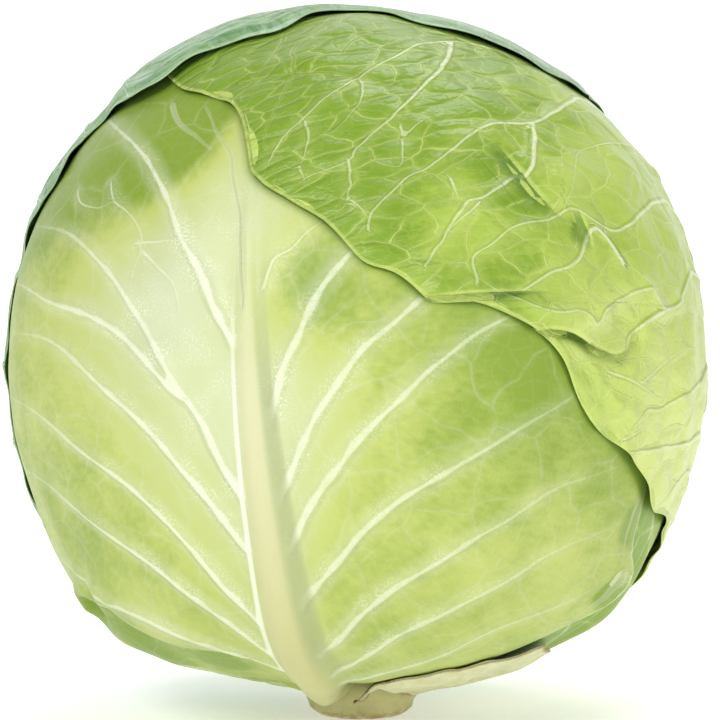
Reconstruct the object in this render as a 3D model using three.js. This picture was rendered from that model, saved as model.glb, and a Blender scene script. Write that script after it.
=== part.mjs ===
// A green cabbage head, cut from its root and standing on the cut end of its stem.
// Lengths are millimetres and angles are degrees. +Z is up, and the front is towards -Y.
// The origin is the middle of the stem's cut face.
//
// A place on the head is a longitude, from the front round to the right, and a latitude, as seen
// from the head's centre. Each leaf is drawn flat, on a leaf plane that keeps distance and bearing
// from the middle of the leaf: x runs to the leaf's right and y from the stem to the crown.
import * as THREE from "three";

const { degToRad, radToDeg, smoothstep, lerp, clamp, seededRandom } = THREE.MathUtils;

// Head
const HEAD_RADIUS = 90;
const HEAD_CENTRE = new THREE.Vector3(0, 0, 91);
const SHOULDER = { latitude: -42, spread: 16, height: 2.2 };
const UNDERSIDE = { latitude: -90, spread: 22, height: -3.2 };
const LUMPS = { height: 0.9, x: 3.3, y: 2.9, z: 2.2 };

// Leaves
const BLADE = 0.7;
const AIR = 0.8;
const BASE_LATITUDE = -78.5;
const BASE_HALF_ANGLE = 36;
const COVER_REACH = { stem: [1, 6], blade: [3, 22] };
const RIB_CLEARANCE = { stem: [1, 6], blade: [3, 16] };
const STEM_END = [-76, -50];
const MARGIN_CURL = { height: 0.5, spread: 9, least: 0.02, waves: 23, swells: 9, low: [6, 20] };
const BARE_FROM = [5, 22];

// Facets
const FACET = 13.5;
const FILL_STEP = 2.5;
const FILL_ROOM = 12;
const HEXAGON_SHARE = 0.87;
const GOLDEN_ANGLE = Math.PI * (3 - Math.sqrt(5));
const FACET_RINGS = [[4.5, 6], [9, 8]];
const BASE_STEPS = 6;
const CURVE_STEPS = 20;
const MARGIN_STEP = 9;
const LOW_MARGIN_SHARE = 0.7;
const VEIN_STEP = 12;
const VEIN_ROOM = 7.5;
const VEIN_START = 4.5;
const RIB_FORM = { narrowing: 0.78, fall: 1.3, roundness: 0.8, bendShift: 0.7 };
const RIB_START = 6;
const RIB_STEP = 8;
const RIB_FINE_WIDTH = 4.5;
const RIB_ROOM = 2;
const RIB_COLUMNS = { fine: [-1, -0.55, 0, 0.55, 1], coarse: [-1, 0, 1] };
const FOLD_ROWS = [[-9, 0.4], [0, 1], [1.4, 0]];
const FOLD_ENDS = [0.12, 0.88];
const FOLD_CLEAR = 1.3;
const FOLD_ROOM = 2.5;
const MARGIN_ROOM = 6.5;
const JITTER = 4e-4;
const FAR = 1000;
const VEIN_HEIGHT = 0.9;
const COVERED_VEIN = 0.15;
const VEIN_START_SHARE = 0.4;
const VEIN_FADE = 0.75;
const VEIN_FOOT = [1.1, 1.9];
const VEIN_CLEAR = 3.4;
const VEIN_LIMIT = 2.4 * HEAD_RADIUS;
const INNER_VEINS = { offset: 3, rise: [34, 84], reach: [26, 46] };

// Heart
const HEART_ROWS = 14;
const HEART_COLUMNS = 26;
const WRAP = { side: 6.1, crown: 0.5, crownLatitudes: [20, 65], stem: 2, stemLatitudes: [35, 76] };
const HEART_RELIEF = { height: 0.9, leaves: 3, turn: 1.1, calmEnd: 0.3, edge: 0.25 };
const SOCKET_AIR = 0.35;
const HEART_MOUTH_ROW = 6;

// Stem
const STEM_FOOT_RADIUS = 9.5;
const STEM_AIR = 0.4;
const STEM_COLUMNS = 18;
const STEM_SCARS = { depth: 0.035, count: 5, twist: 0.4, firstRow: 3 };

// Direction from the head's centre to a longitude and latitude
function direction(longitude, latitude) {
  const turn = degToRad(longitude);
  const climb = degToRad(latitude);
  return new THREE.Vector3(
    Math.sin(turn) * Math.cos(climb),
    -Math.cos(turn) * Math.cos(climb),
    Math.sin(climb),
  );
}

function latitudeOf(ray) {
  return radToDeg(Math.asin(clamp(ray.z, -1, 1)));
}

function bell(distance) {
  return Math.exp(-distance * distance);
}

// Radius of the whole head: a ball with full shoulders, a flatter underside and a few soft lumps
function headRadius(ray) {
  const latitude = latitudeOf(ray);
  const shoulder = SHOULDER.height * bell((latitude - SHOULDER.latitude) / SHOULDER.spread);
  const underside = UNDERSIDE.height * bell((latitude - UNDERSIDE.latitude) / UNDERSIDE.spread);
  const across = Math.sin(LUMPS.x * ray.x + 1) * Math.cos(LUMPS.y * ray.y + 2);
  const lump = LUMPS.height * across * Math.cos(LUMPS.z * ray.z);
  return HEAD_RADIUS + shoulder + underside + lump;
}

// Radius of the heart, which leaves room for the wrapper leaves
function heartRadius(ray) {
  const latitude = latitudeOf(ray);
  const crown = WRAP.crown * smoothstep(latitude, ...WRAP.crownLatitudes);
  const stem = WRAP.stem * smoothstep(-latitude, ...WRAP.stemLatitudes);
  return headRadius(ray) - WRAP.side - crown - stem;
}

// Flat drawing of the head's surface about the middle of one leaf
class LeafPlane {
  constructor(longitude, latitude) {
    this.middle = direction(longitude, latitude);
    this.up = direction(longitude, latitude + 90);
    this.right = new THREE.Vector3().crossVectors(this.up, this.middle);
  }

  ray(x, y) {
    const distance = Math.hypot(x, y);
    const angle = distance / HEAD_RADIUS;
    const sideways = distance > 0 ? Math.sin(angle) / distance : 0;
    return this.middle
      .clone()
      .multiplyScalar(Math.cos(angle))
      .addScaledVector(this.right, x * sideways)
      .addScaledVector(this.up, y * sideways);
  }

  find(ray) {
    const across = ray.dot(this.right);
    const along = ray.dot(this.up);
    const sideways = Math.hypot(across, along);
    const distance = HEAD_RADIUS * Math.atan2(sideways, ray.dot(this.middle));
    const scale = sideways > 0 ? distance / sideways : 0;
    return new THREE.Vector2(across * scale, along * scale);
  }

  // How much wider than life a short step sideways is drawn, on the midrib at y
  stretch(y) {
    const angle = Math.abs(y) / HEAD_RADIUS;
    return angle > 0 ? angle / Math.sin(angle) : 1;
  }
}

// A vein leaves the midrib at `start`, climbs by `rise` and levels off within `reach` of the rib.
// A forked one starts `from` the rib instead of at it.
function vein(side, start, rise, reach, from = 0) {
  return { side, start, rise, reach, from };
}

// Pairs of veins whose starts are spread evenly up the midrib
function veinPairs(count, first, last) {
  const veins = [];
  for (let i = 0; i < count; i += 1) {
    const share = i / (count - 1);
    const start = lerp(first, last, share);
    const rise = lerp(...INNER_VEINS.rise, share);
    const reach = lerp(...INNER_VEINS.reach, share);
    veins.push(vein(-1, start + INNER_VEINS.offset, rise, reach));
    veins.push(vein(1, start - INNER_VEINS.offset, rise, reach));
  }
  return veins;
}

// Margin of a leaf that is much the same on both sides, given as half of its outline
function evenMargin(longitude, halfOutline) {
  const right = halfOutline.map(([turn, latitude]) => [longitude + turn, latitude]);
  const left = halfOutline.map(([turn, latitude]) => [longitude - turn, latitude]);
  return [...right, ...left.reverse()];
}

const INNER_OUTLINE = [
  [52, -70], [70, -58], [84, -42], [92, -22], [94, 0], [92, 24], [84, 46], [64, 64], [28, 74],
];

// The leaves, from the innermost out. A margin lists longitudes and latitudes from the right of the
// leaf's base, over its tip, to the left of its base.
const LEAVES = [
  {
    name: "inner_leaf_left",
    colour: 0xb9d07c,
    longitude: -72,
    covered: true,
    margin: evenMargin(-72, INNER_OUTLINE),
    rib: { bend: 0, halfWidth: 6, height: 2.4, end: 25 },
    veins: veinPairs(4, -84, -14),
  },
  {
    name: "inner_leaf_right",
    colour: 0x9dbd5c,
    longitude: 70,
    covered: true,
    margin: evenMargin(70, INNER_OUTLINE),
    rib: { bend: 0, halfWidth: 6, height: 2.4, end: 25 },
    veins: veinPairs(5, -88, -10),
  },
  {
    name: "inner_leaf_rear",
    colour: 0xb4cc74,
    longitude: -125,
    covered: true,
    margin: evenMargin(-125, INNER_OUTLINE),
    rib: { bend: 0, halfWidth: 6, height: 2.4, end: 25 },
    veins: veinPairs(4, -84, -14),
  },
  {
    name: "front_leaf",
    colour: 0xb5cf6e,
    longitude: -19,
    baseLongitude: -26,
    margin: [
      [18, -70], [27, -62], [36, -56], [46, -49], [54, -44], [59, -40], [60, -34], [57, -30],
      [56, -25], [55, -19], [57, -6], [59, 10], [58, 28], [50, 46], [28, 62], [0, 71], [-25, 75],
      [-50, 71], [-74, 62], [-88, 50], [-97, 36], [-100, 20], [-98, 5], [-100, -10], [-96, -25],
      [-88, -36], [-77, -45], [-64, -54], [-56, -63], [-58, -71],
    ],
    rib: { bend: 8, halfWidth: 7.5, height: 5.4, end: 62 },
    veins: [
      vein(-1, 5, 90, 45),
      vein(-1, -29, 75, 32),
      vein(-1, -7, 32, 35, 12),
      vein(-1, -43, 55, 30),
      vein(-1, -63, 55, 30),
      vein(-1, -75, 46, 30),
      vein(-1, -88, 30, 22),
      vein(1, -12, 60, 18),
      vein(1, -30, 70, 30),
      vein(1, -42, 75, 42),
      vein(1, -57, 65, 52),
      vein(1, -75, 52, 42),
      vein(1, -88, 42, 35),
      vein(1, -98, 30, 35),
    ],
    curls: [
      { longitude: -74, latitude: -47, height: 1.8, spread: 16 },
      { longitude: -97, latitude: 5, height: 2.2, spread: 9 },
      { longitude: 58, latitude: -33, height: 2.2, spread: 13 },
    ],
  },
  {
    name: "right_leaf",
    colour: 0x94b948,
    longitude: 118,
    margin: [
      [160, -70], [172, -60], [188, -45], [198, -22], [203, 0], [205, 20], [202, 40], [200, 58],
      [210, 68], [250, 68], [280, 60], [300, 52], [318, 46], [336, 40], [341, 31], [344, 27],
      [349, 24], [354, 21], [360, 15], [365, 13], [370, 9], [376, 9], [382, 7], [387, 4],
      [390, 1], [393, -4], [397, -9], [404, -13], [411, -18], [417, -23], [426, -25],
      [436, -30], [446, -38], [449, -52], [447, -66],
    ],
    rib: { bend: -5, halfWidth: 7, height: 4.2, end: 70 },
    veins: [
      vein(-1, 38, 90, 48),
      vein(-1, 22, 88, 48),
      vein(-1, 3, 82, 46),
      vein(-1, -15, 81, 44),
      vein(-1, -32, 78, 42),
      vein(-1, -52, 67, 38),
      vein(-1, -70, 60, 34),
      vein(-1, -84, 54, 30),
      vein(1, 30, 70, 44),
      vein(1, 6, 74, 42),
      vein(1, -18, 72, 38),
      vein(1, -40, 66, 36),
      vein(1, -60, 56, 32),
      vein(1, -78, 44, 28),
      vein(1, -92, 32, 24),
    ],
    folds: [
      { from: [-13, 24], to: [31, 11], bow: -6, height: 1, spread: 16 },
      { from: [16, 9], to: [39, 1], bow: -1, height: 0.8, spread: 12 },
    ],
    curls: [
      { longitude: 50, latitude: -17, height: 1.6, spread: 14 },
      { longitude: 88, latitude: -40, height: 2, spread: 15 },
    ],
  },
  {
    name: "rear_leaf",
    colour: 0x8fb35c,
    longitude: -165,
    margin: [
      [-122, -70], [-106, -60], [-95, -48], [-90, -35], [-87, -15], [-90, 5], [-88, 18], [-78, 25],
      [-72, 31], [-75, 36], [-68, 42], [-50, 47], [-32, 61], [-20, 72], [10, 73], [24, 67],
      [40, 61], [54, 54], [70, 49], [86, 48], [102, 39], [118, 27], [130, 12], [136, -5],
      [138, -25], [142, -42], [147, -56], [150, -68],
    ],
    rib: { bend: 6, halfWidth: 7, height: 4.2, end: 60 },
    veins: [
      vein(-1, 24, 84, 46),
      vein(-1, -4, 80, 42),
      vein(-1, -30, 70, 38),
      vein(-1, -54, 58, 32),
      vein(-1, -74, 46, 28),
      vein(-1, -92, 32, 24),
      vein(1, 34, 88, 48),
      vein(1, 12, 84, 44),
      vein(1, -12, 76, 40),
      vein(1, -34, 66, 36),
      vein(1, -56, 56, 32),
      vein(1, -74, 46, 28),
      vein(1, -90, 32, 24),
    ],
    curls: [
      { longitude: -50, latitude: 47, height: 1.6, spread: 18 },
      { longitude: -90, latitude: 5, height: 0.3, spread: 20 },
      { longitude: 137, latitude: -22, height: 1.8, spread: 16 },
    ],
  },
  {
    name: "cut_leaf_base",
    colour: 0xdde0b0,
    longitude: 35,
    blade: 1,
    grain: 0.65,
    marginStep: 3.6,
    margin: [
      [64, -70], [69, -61], [66, -54], [61, -50], [56, -53], [50, -49], [46, -52], [42, -55],
      [36, -53], [31, -57], [25, -56], [19, -60], [12, -61], [8, -65], [2, -63], [-3, -67],
    ],
    baseHalfAngle: 30,
    rib: { bend: 0, halfWidth: 6.5, height: 2.2, end: -80 },
    veins: [],
  },
];

// Evenly spaced points on a smooth closed margin, with the leaf's base as an arc round the stem
function marginPoints(leaf, plane) {
  const middle = leaf.baseLongitude ?? leaf.longitude;
  const half = leaf.baseHalfAngle ?? BASE_HALF_ANGLE;
  const base = [];
  for (let i = 0; i <= BASE_STEPS; i += 1) {
    const longitude = middle + lerp(-half, half, i / BASE_STEPS);
    base.push(plane.find(direction(longitude, BASE_LATITUDE)));
  }
  const drawn = leaf.margin.map(([longitude, latitude]) => plane.find(direction(longitude, latitude)));
  const curve = new THREE.SplineCurve([base[BASE_STEPS], ...drawn, base[0]]);
  const fine = curve.getPoints(CURVE_STEPS * (drawn.length + 1));
  const spaced = [...base];
  let walked = 0;
  for (let i = 1; i < fine.length; i += 1) {
    const ray = plane.ray(fine[i].x, fine[i].y);
    walked += HEAD_RADIUS * ray.distanceTo(plane.ray(fine[i - 1].x, fine[i - 1].y));
    const nearEnd = fine[i].distanceTo(base[0]) < leaf.marginStep / 2;
    const low = latitudeOf(ray) < STEM_END[1];
    if (walked >= (low ? LOW_MARGIN_SHARE : 1) * leaf.marginStep && !nearEnd) {
      spaced.push(fine[i]);
      walked = 0;
    }
  }
  return spaced;
}

function insideOutline(outline, point) {
  let inside = false;
  for (let i = 0, j = outline.length - 1; i < outline.length; j = i, i += 1) {
    const a = outline[i];
    const b = outline[j];
    const crosses = a.y > point.y !== b.y > point.y;
    if (crosses && point.x < ((b.x - a.x) * (point.y - a.y)) / (b.y - a.y) + a.x) {
      inside = !inside;
    }
  }
  return inside;
}

// A leaf's outline, midrib and veins, and how far it lifts what lies over it
class Leaf {
  constructor(description) {
    const usual = { blade: BLADE, grain: 1, marginStep: MARGIN_STEP, curls: [], folds: [] };
    Object.assign(this, usual, description);
    this.plane = new LeafPlane(this.longitude, 0);
    this.outline = marginPoints(this, this.plane);
    this.marginRays = this.outline.map((point) => this.plane.ray(point.x, point.y));
    this.baseY = this.plane.find(direction(this.longitude, BASE_LATITUDE)).y;
    this.baseX = this.plane.find(direction(this.baseLongitude ?? this.longitude, BASE_LATITUDE)).x;
  }

  // Distance in from the margin, on the head, and less than 0 outside the leaf
  depth(ray) {
    const segment = new THREE.Line3();
    const nearest = new THREE.Vector3();
    let closest = Infinity;
    for (let i = 0; i < this.marginRays.length; i += 1) {
      segment.set(this.marginRays[i], this.marginRays[(i + 1) % this.marginRays.length]);
      segment.closestPointToPoint(ray, true, nearest);
      closest = Math.min(closest, nearest.distanceTo(ray));
    }
    const sign = insideOutline(this.outline, this.plane.find(ray)) ? 1 : -1;
    return sign * closest * HEAD_RADIUS;
  }

  // Share of the way up the midrib, from 0 at the stem to 1 where the rib has faded
  ribShare(y) {
    return clamp((y - this.baseY) / (this.rib.end - this.baseY), 0, 1);
  }

  ribX(y) {
    const share = this.ribShare(y);
    return lerp(this.baseX, 0, share) + this.rib.bend * Math.sin(Math.PI * share ** RIB_FORM.bendShift);
  }

  ribHalfWidth(y) {
    return this.rib.halfWidth * (1 - RIB_FORM.narrowing * this.ribShare(y)) * this.plane.stretch(y);
  }

  ribHeight(y) {
    return this.rib.height * (1 - this.ribShare(y)) ** RIB_FORM.fall;
  }

  // Height of the midrib over the blade: round across, and lower towards the crown
  ribRelief(point) {
    if (point.y > this.rib.end) {
      return 0;
    }
    const across = Math.abs(point.x - this.ribX(point.y)) / this.ribHalfWidth(point.y);
    return this.ribHeight(point.y) * Math.max(0, 1 - across * across) ** RIB_FORM.roundness;
  }

  // How far this leaf lifts the leaves that lie over it. Close to the stem the leaves press tighter.
  lift(ray) {
    const loose = smoothstep(latitudeOf(ray), ...STEM_END);
    const reach = (ends, side) => lerp(ends.stem[side], ends.blade[side], loose);
    const cover = 1 - smoothstep(-this.depth(ray), reach(COVER_REACH, 0), reach(COVER_REACH, 1));
    const point = this.plane.find(ray);
    const beside = Math.abs(point.x - this.ribX(point.y)) - this.ribHalfWidth(point.y);
    const overRib = 1 - smoothstep(beside, reach(RIB_CLEARANCE, 0), reach(RIB_CLEARANCE, 1));
    return cover * (this.blade + AIR + overRib * this.ribHeight(point.y));
  }
}

const leaves = LEAVES.map((description) => new Leaf(description));

// Radius of a leaf's inner face: the heart, plus every leaf that lies between
function innerRadius(layer, ray) {
  let radius = heartRadius(ray) + HEART_RELIEF.height + AIR;
  for (const under of leaves.slice(0, layer)) {
    radius += under.lift(ray);
  }
  return radius;
}

// The highest that the layers below reach within a facet of a place, so that facets stay clear
function clearRadius(layer, ray) {
  const side = new THREE.Vector3(-ray.y, ray.x, 0).normalize();
  const up = new THREE.Vector3().crossVectors(ray, side);
  let radius = innerRadius(layer, ray);
  for (const [distance, count] of FACET_RINGS) {
    const angle = (leaves[layer].grain * distance) / HEAD_RADIUS;
    for (let i = 0; i < count; i += 1) {
      const turn = (2 * Math.PI * i) / count;
      const near = ray
        .clone()
        .addScaledVector(side, Math.cos(turn) * angle)
        .addScaledVector(up, Math.sin(turn) * angle)
        .normalize();
      radius = Math.max(radius, innerRadius(layer, near));
    }
  }
  return radius;
}

// How bare a place on a leaf is: 1 where no other leaf lies over it
function bareness(layer, ray) {
  let bare = 1;
  for (const over of leaves.slice(layer + 1)) {
    bare *= smoothstep(-over.depth(ray), ...BARE_FROM);
  }
  return bare;
}

// How far a bare margin stands off the head, in waves along the margin
function curlHeight(leaf, layer, ray) {
  const depth = Math.max(0, leaf.depth(ray));
  const edge = Math.exp(-depth / MARGIN_CURL.spread);
  if (edge < MARGIN_CURL.least) {
    return 0;
  }
  const bearing = Math.atan2(ray.dot(leaf.plane.right), ray.dot(leaf.plane.up));
  const wave = Math.sin(MARGIN_CURL.waves * bearing) * Math.cos(MARGIN_CURL.swells * bearing + 1);
  let height = MARGIN_CURL.height * (1 + wave);
  for (const curl of leaf.curls) {
    const apart = HEAD_RADIUS * ray.distanceTo(direction(curl.longitude, curl.latitude));
    height += curl.height * bell(apart / curl.spread);
  }
  const risen = smoothstep(latitudeOf(ray) - BASE_LATITUDE, ...MARGIN_CURL.low);
  return height * edge * risen * bareness(layer, ray);
}

// Points along a vein, each with its place on the leaf, its heading and its share of the length
function veinPath(leaf, { side, start, rise, reach, from }) {
  const path = [];
  let along = from + VEIN_START;
  while (along < VEIN_LIMIT) {
    const slope = (rise / reach) * Math.exp(-(along - from) / reach);
    const y = start + rise * (1 - Math.exp(-(along - from) / reach));
    const x = leaf.ribX(start) + side * (leaf.ribHalfWidth(start) + along);
    const point = new THREE.Vector2(x, y);
    if (leaf.depth(leaf.plane.ray(x, y)) < MARGIN_ROOM) {
      break;
    }
    path.push({ point, heading: new THREE.Vector2(side, slope).normalize() });
    along += VEIN_STEP / Math.hypot(1, slope);
  }
  return path;
}

// A vein stands out less where another leaf lies over it
function veinShow(leaf, point) {
  const bare = bareness(leaves.indexOf(leaf), leaf.plane.ray(point.x, point.y));
  return lerp(COVERED_VEIN, 1, bare);
}

// Three rows of points for each vein, its crest between its two feet
function addVeins(leaf, points) {
  for (const description of leaf.veins) {
    const path = veinPath(leaf, description);
    const fresh = [];
    path.forEach(({ point, heading }, i) => {
      const fade = 1 - (VEIN_FADE * i) / path.length;
      const start = i === 0 ? VEIN_START_SHARE : 1;
      const foot = lerp(...VEIN_FOOT, fade);
      const taken = points.some((other) => other.point.distanceTo(point) < VEIN_CLEAR);
      if (taken) {
        return;
      }
      fresh.push({ point, raise: VEIN_HEIGHT * fade * start * veinShow(leaf, point) });
      for (const side of [-1, 1]) {
        const across = new THREE.Vector2(-heading.y, heading.x).multiplyScalar(side * foot);
        fresh.push({ point: point.clone().add(across), raise: 0 });
      }
    });
    points.push(...fresh);
  }
}

// Rows of points across the midrib: five points where it is wide, and three towards the crown
function addRib(leaf, points) {
  for (let y = leaf.baseY + RIB_START; y < leaf.rib.end; y += RIB_STEP) {
    const fine = leaf.ribHalfWidth(y) > RIB_FINE_WIDTH && !leaf.covered;
    for (const across of fine ? RIB_COLUMNS.fine : RIB_COLUMNS.coarse) {
      const point = new THREE.Vector2(leaf.ribX(y) + across * leaf.ribHalfWidth(y), y);
      if (leaf.depth(leaf.plane.ray(point.x, point.y)) > RIB_ROOM) {
        points.push({ point, raise: 0 });
      }
    }
  }
}

// Rows of points along a fold, where the sheet above ends in a step over the sheet below
function addFolds(leaf, points) {
  for (const { from, to, bow, height } of leaf.folds) {
    const start = leaf.plane.find(direction(...from));
    const end = leaf.plane.find(direction(...to));
    const steps = Math.round(start.distanceTo(end) / VEIN_STEP);
    const across = end.clone().sub(start).normalize();
    const down = new THREE.Vector2(across.y, -across.x);
    for (let i = 0; i <= steps; i += 1) {
      const share = i / steps;
      const line = start.clone().lerp(end, share).addScaledVector(down, bow * Math.sin(Math.PI * share));
      const step = height * Math.sin(Math.PI * clamp(share, ...FOLD_ENDS));
      for (const [offset, part] of FOLD_ROWS) {
        const point = line.clone().addScaledVector(down, offset);
        const free = points.every((other) => other.point.distanceTo(point) > FOLD_CLEAR);
        if (free && leaf.depth(leaf.plane.ray(point.x, point.y)) > FOLD_ROOM) {
          points.push({ point, raise: part * step });
        }
      }
    }
  }
}

// Evenly spaced directions round the head, on a spiral that winds from the crown to the stem
function spiralRays(spacing) {
  const count = Math.round((4 * Math.PI * HEAD_RADIUS ** 2) / (HEXAGON_SHARE * spacing ** 2));
  const rays = [];
  for (let i = 0; i < count; i += 1) {
    const height = 1 - (2 * i + 1) / count;
    const girth = Math.sqrt(1 - height * height);
    const turn = i * GOLDEN_ANGLE;
    rays.push(new THREE.Vector3(girth * Math.sin(turn), -girth * Math.cos(turn), height));
  }
  return rays;
}

// Points that fill the blade between the veins: the same even places for every leaf, so that the
// leaves' facets lie alike, and then any place that still has room round it
function addFilling(leaf, points) {
  const held = points.map(({ point }) => leaf.plane.ray(point.x, point.y));
  const filling = [];
  const scale = HEAD_RADIUS / leaf.grain;
  const roomy = (ray, others, room) => others.every((other) => other.distanceTo(ray) * scale > room);
  for (const [spacing, room] of [[FACET, 0.5 * FACET], [FILL_STEP, FILL_ROOM]]) {
    for (const ray of spiralRays(leaf.grain * spacing)) {
      const inside = leaf.depth(ray) > leaf.grain * MARGIN_ROOM;
      if (inside && roomy(ray, filling, room) && roomy(ray, held, VEIN_ROOM)) {
        filling.push(ray);
        points.push({ point: leaf.plane.find(ray), raise: 0 });
      }
    }
  }
}

// Circle through three points, for the triangulation
function circleThrough(a, b, c) {
  const bx = b.x - a.x;
  const by = b.y - a.y;
  const cx = c.x - a.x;
  const cy = c.y - a.y;
  const twice = 2 * (bx * cy - by * cx);
  const x = (cy * (bx * bx + by * by) - by * (cx * cx + cy * cy)) / twice;
  const y = (bx * (cx * cx + cy * cy) - cx * (bx * bx + by * by)) / twice;
  return { x: a.x + x, y: a.y + y, square: x * x + y * y };
}

// Triangles between points of a plane, so that no circle round a triangle holds another point
function triangulate(points) {
  const all = [
    ...points,
    new THREE.Vector2(-FAR, -FAR),
    new THREE.Vector2(FAR, -FAR),
    new THREE.Vector2(0, FAR),
  ];
  const made = (a, b, c) => ({ corners: [a, b, c], circle: circleThrough(all[a], all[b], all[c]) });
  let triangles = [made(points.length, points.length + 1, points.length + 2)];
  points.forEach((point, index) => {
    const border = new Map();
    triangles = triangles.filter(({ corners, circle }) => {
      if ((point.x - circle.x) ** 2 + (point.y - circle.y) ** 2 > circle.square) {
        return true;
      }
      for (let i = 0; i < 3; i += 1) {
        const edge = [corners[i], corners[(i + 1) % 3]];
        const opposite = `${edge[1]},${edge[0]}`;
        if (!border.delete(opposite)) {
          border.set(`${edge[0]},${edge[1]}`, edge);
        }
      }
      return false;
    });
    for (const [a, b] of border.values()) {
      triangles.push(made(a, b, index));
    }
  });
  return triangles.map(({ corners }) => corners).filter((corners) => Math.max(...corners) < points.length);
}

// A drawing that keeps shapes, so that its triangles are well formed on the head too
function conformal(plane, point) {
  const distance = point.length();
  const scale = distance > 0 ? (2 * Math.tan(distance / HEAD_RADIUS / 2)) / distance : 0;
  return point.clone().multiplyScalar(scale);
}

function triangleMiddle(points, corners) {
  const middle = new THREE.Vector2();
  corners.forEach((corner) => middle.add(points[corner]));
  return middle.divideScalar(3);
}

// Edges that only one triangle has, in that triangle's own order
function borderEdges(triangles) {
  const border = new Map();
  for (const corners of triangles) {
    for (let i = 0; i < 3; i += 1) {
      const edge = [corners[i], corners[(i + 1) % 3]];
      if (!border.delete(`${edge[1]},${edge[0]}`)) {
        border.set(`${edge[0]},${edge[1]}`, edge);
      }
    }
  }
  return [...border.values()];
}

function bodyGeometry(corners, triangles) {
  const geometry = new THREE.BufferGeometry();
  geometry.setFromPoints(corners);
  geometry.setIndex(triangles.flat());
  geometry.computeVertexNormals();
  return geometry;
}

// One leaf as a closed sheet: an outer face, an inner face split alike, and the rim between them
function leafGeometry(leaf, layer) {
  const points = leaf.outline.map((point) => ({ point, raise: 0 }));
  addRib(leaf, points);
  addFolds(leaf, points);
  addVeins(leaf, points);
  addFilling(leaf, points);
  seededRandom(leaf.name.length);
  const drawn = points.map(({ point }) => {
    const offset = new THREE.Vector2(seededRandom() - 0.5, seededRandom() - 0.5);
    return conformal(leaf.plane, point).addScaledVector(offset, JITTER);
  });
  const outline = drawn.slice(0, leaf.outline.length);
  const within = (corners) => insideOutline(outline, triangleMiddle(drawn, corners));
  const face = triangulate(drawn).filter(within);

  const outer = [];
  const inner = [];
  for (const { point, raise } of points) {
    const ray = leaf.plane.ray(point.x, point.y);
    const radius = clearRadius(layer, ray) + curlHeight(leaf, layer, ray);
    const thickness = leaf.blade + leaf.ribRelief(point) + raise;
    inner.push(HEAD_CENTRE.clone().addScaledVector(ray, radius));
    outer.push(HEAD_CENTRE.clone().addScaledVector(ray, radius + thickness));
  }
  const count = points.length;
  const triangles = [];
  for (const [a, b, c] of face) {
    triangles.push([a, b, c], [c + count, b + count, a + count]);
  }
  for (const [a, b] of borderEdges(face)) {
    triangles.push([b, a, a + count], [b, a + count, b + count]);
  }
  return bodyGeometry([...outer, ...inner], triangles);
}

// A closed body from rows of points round an axis, whose first and last rows are single points
function turnedGeometry(rows, columns, place) {
  const corners = [place(0, 0)];
  for (let row = 1; row < rows; row += 1) {
    for (let column = 0; column < columns; column += 1) {
      corners.push(place(row, (2 * Math.PI * column) / columns));
    }
  }
  corners.push(place(rows, 0));
  const last = corners.length - 1;
  const at = (row, column) => 1 + (row - 1) * columns + (column % columns);
  const triangles = [];
  for (let column = 0; column < columns; column += 1) {
    triangles.push([0, at(1, column + 1), at(1, column)]);
    triangles.push([last, at(rows - 1, column), at(rows - 1, column + 1)]);
    for (let row = 1; row < rows - 1; row += 1) {
      triangles.push([at(row, column), at(row + 1, column + 1), at(row + 1, column)]);
      triangles.push([at(row, column), at(row, column + 1), at(row + 1, column + 1)]);
    }
  }
  return bodyGeometry(corners, triangles);
}

// The stem: a stump that widens from the cut face, then the core that tapers up into the heart.
// Each pair is a radius and a height.
const coneRadius = (height) => (HEAD_CENTRE.z - height) / Math.tan(degToRad(-BASE_LATITUDE)) - STEM_AIR;
const STEM_PROFILE = [
  [0, 0],
  [STEM_FOOT_RADIUS, 0],
  [12, 1],
  [14, 3.4],
  [coneRadius(6), 6],
  [coneRadius(11), 11],
  [coneRadius(17), 17],
  [11.5, 26],
  [9, 38],
  [6.5, 52],
  [3.4, 64],
  [0, 68],
];

function stemGeometry() {
  return turnedGeometry(STEM_PROFILE.length - 1, STEM_COLUMNS, (row, turn) => {
    const [radius, height] = STEM_PROFILE[row];
    const scar = STEM_SCARS.depth * (1 + Math.sin(STEM_SCARS.count * turn + STEM_SCARS.twist * height));
    const reach = radius * (row < STEM_SCARS.firstRow ? 1 : 1 - scar);
    return new THREE.Vector3(reach * Math.sin(turn), -reach * Math.cos(turn), height);
  });
}

// Relief of the heart: the edges of its outer leaves, which spiral up to the crown
function heartRelief(ray) {
  const turn = Math.atan2(ray.x, -ray.y) / (2 * Math.PI);
  const climb = latitudeOf(ray) / 90;
  const spiral = HEART_RELIEF.leaves * (turn + HEART_RELIEF.turn * 0.5 * climb);
  const saw = spiral - Math.floor(spiral);
  const calm = smoothstep(1 - Math.abs(climb), 0, HEART_RELIEF.calmEnd);
  return HEART_RELIEF.height * calm * saw * smoothstep(1 - saw, 0, HEART_RELIEF.edge);
}

// The heart: a ball with a blind socket for the stem's core, as rows of a latitude or of a wall
function heartGeometry() {
  const core = STEM_PROFILE.slice(HEART_MOUTH_ROW);
  const socket = core.map(([radius, height]) => [radius + SOCKET_AIR, height + SOCKET_AIR]);
  socket[socket.length - 1][0] = 0;
  const rows = HEART_ROWS + socket.length;
  return turnedGeometry(rows, HEART_COLUMNS, (row, turn) => {
    if (row > HEART_ROWS) {
      const [radius, height] = socket[row - HEART_ROWS - 1];
      return new THREE.Vector3(radius * Math.sin(-turn), -radius * Math.cos(-turn), height);
    }
    const ray = direction(radToDeg(-turn), lerp(90, BASE_LATITUDE, row / HEART_ROWS));
    const radius = heartRadius(ray) + heartRelief(ray);
    return HEAD_CENTRE.clone().addScaledVector(ray, radius);
  });
}

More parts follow.
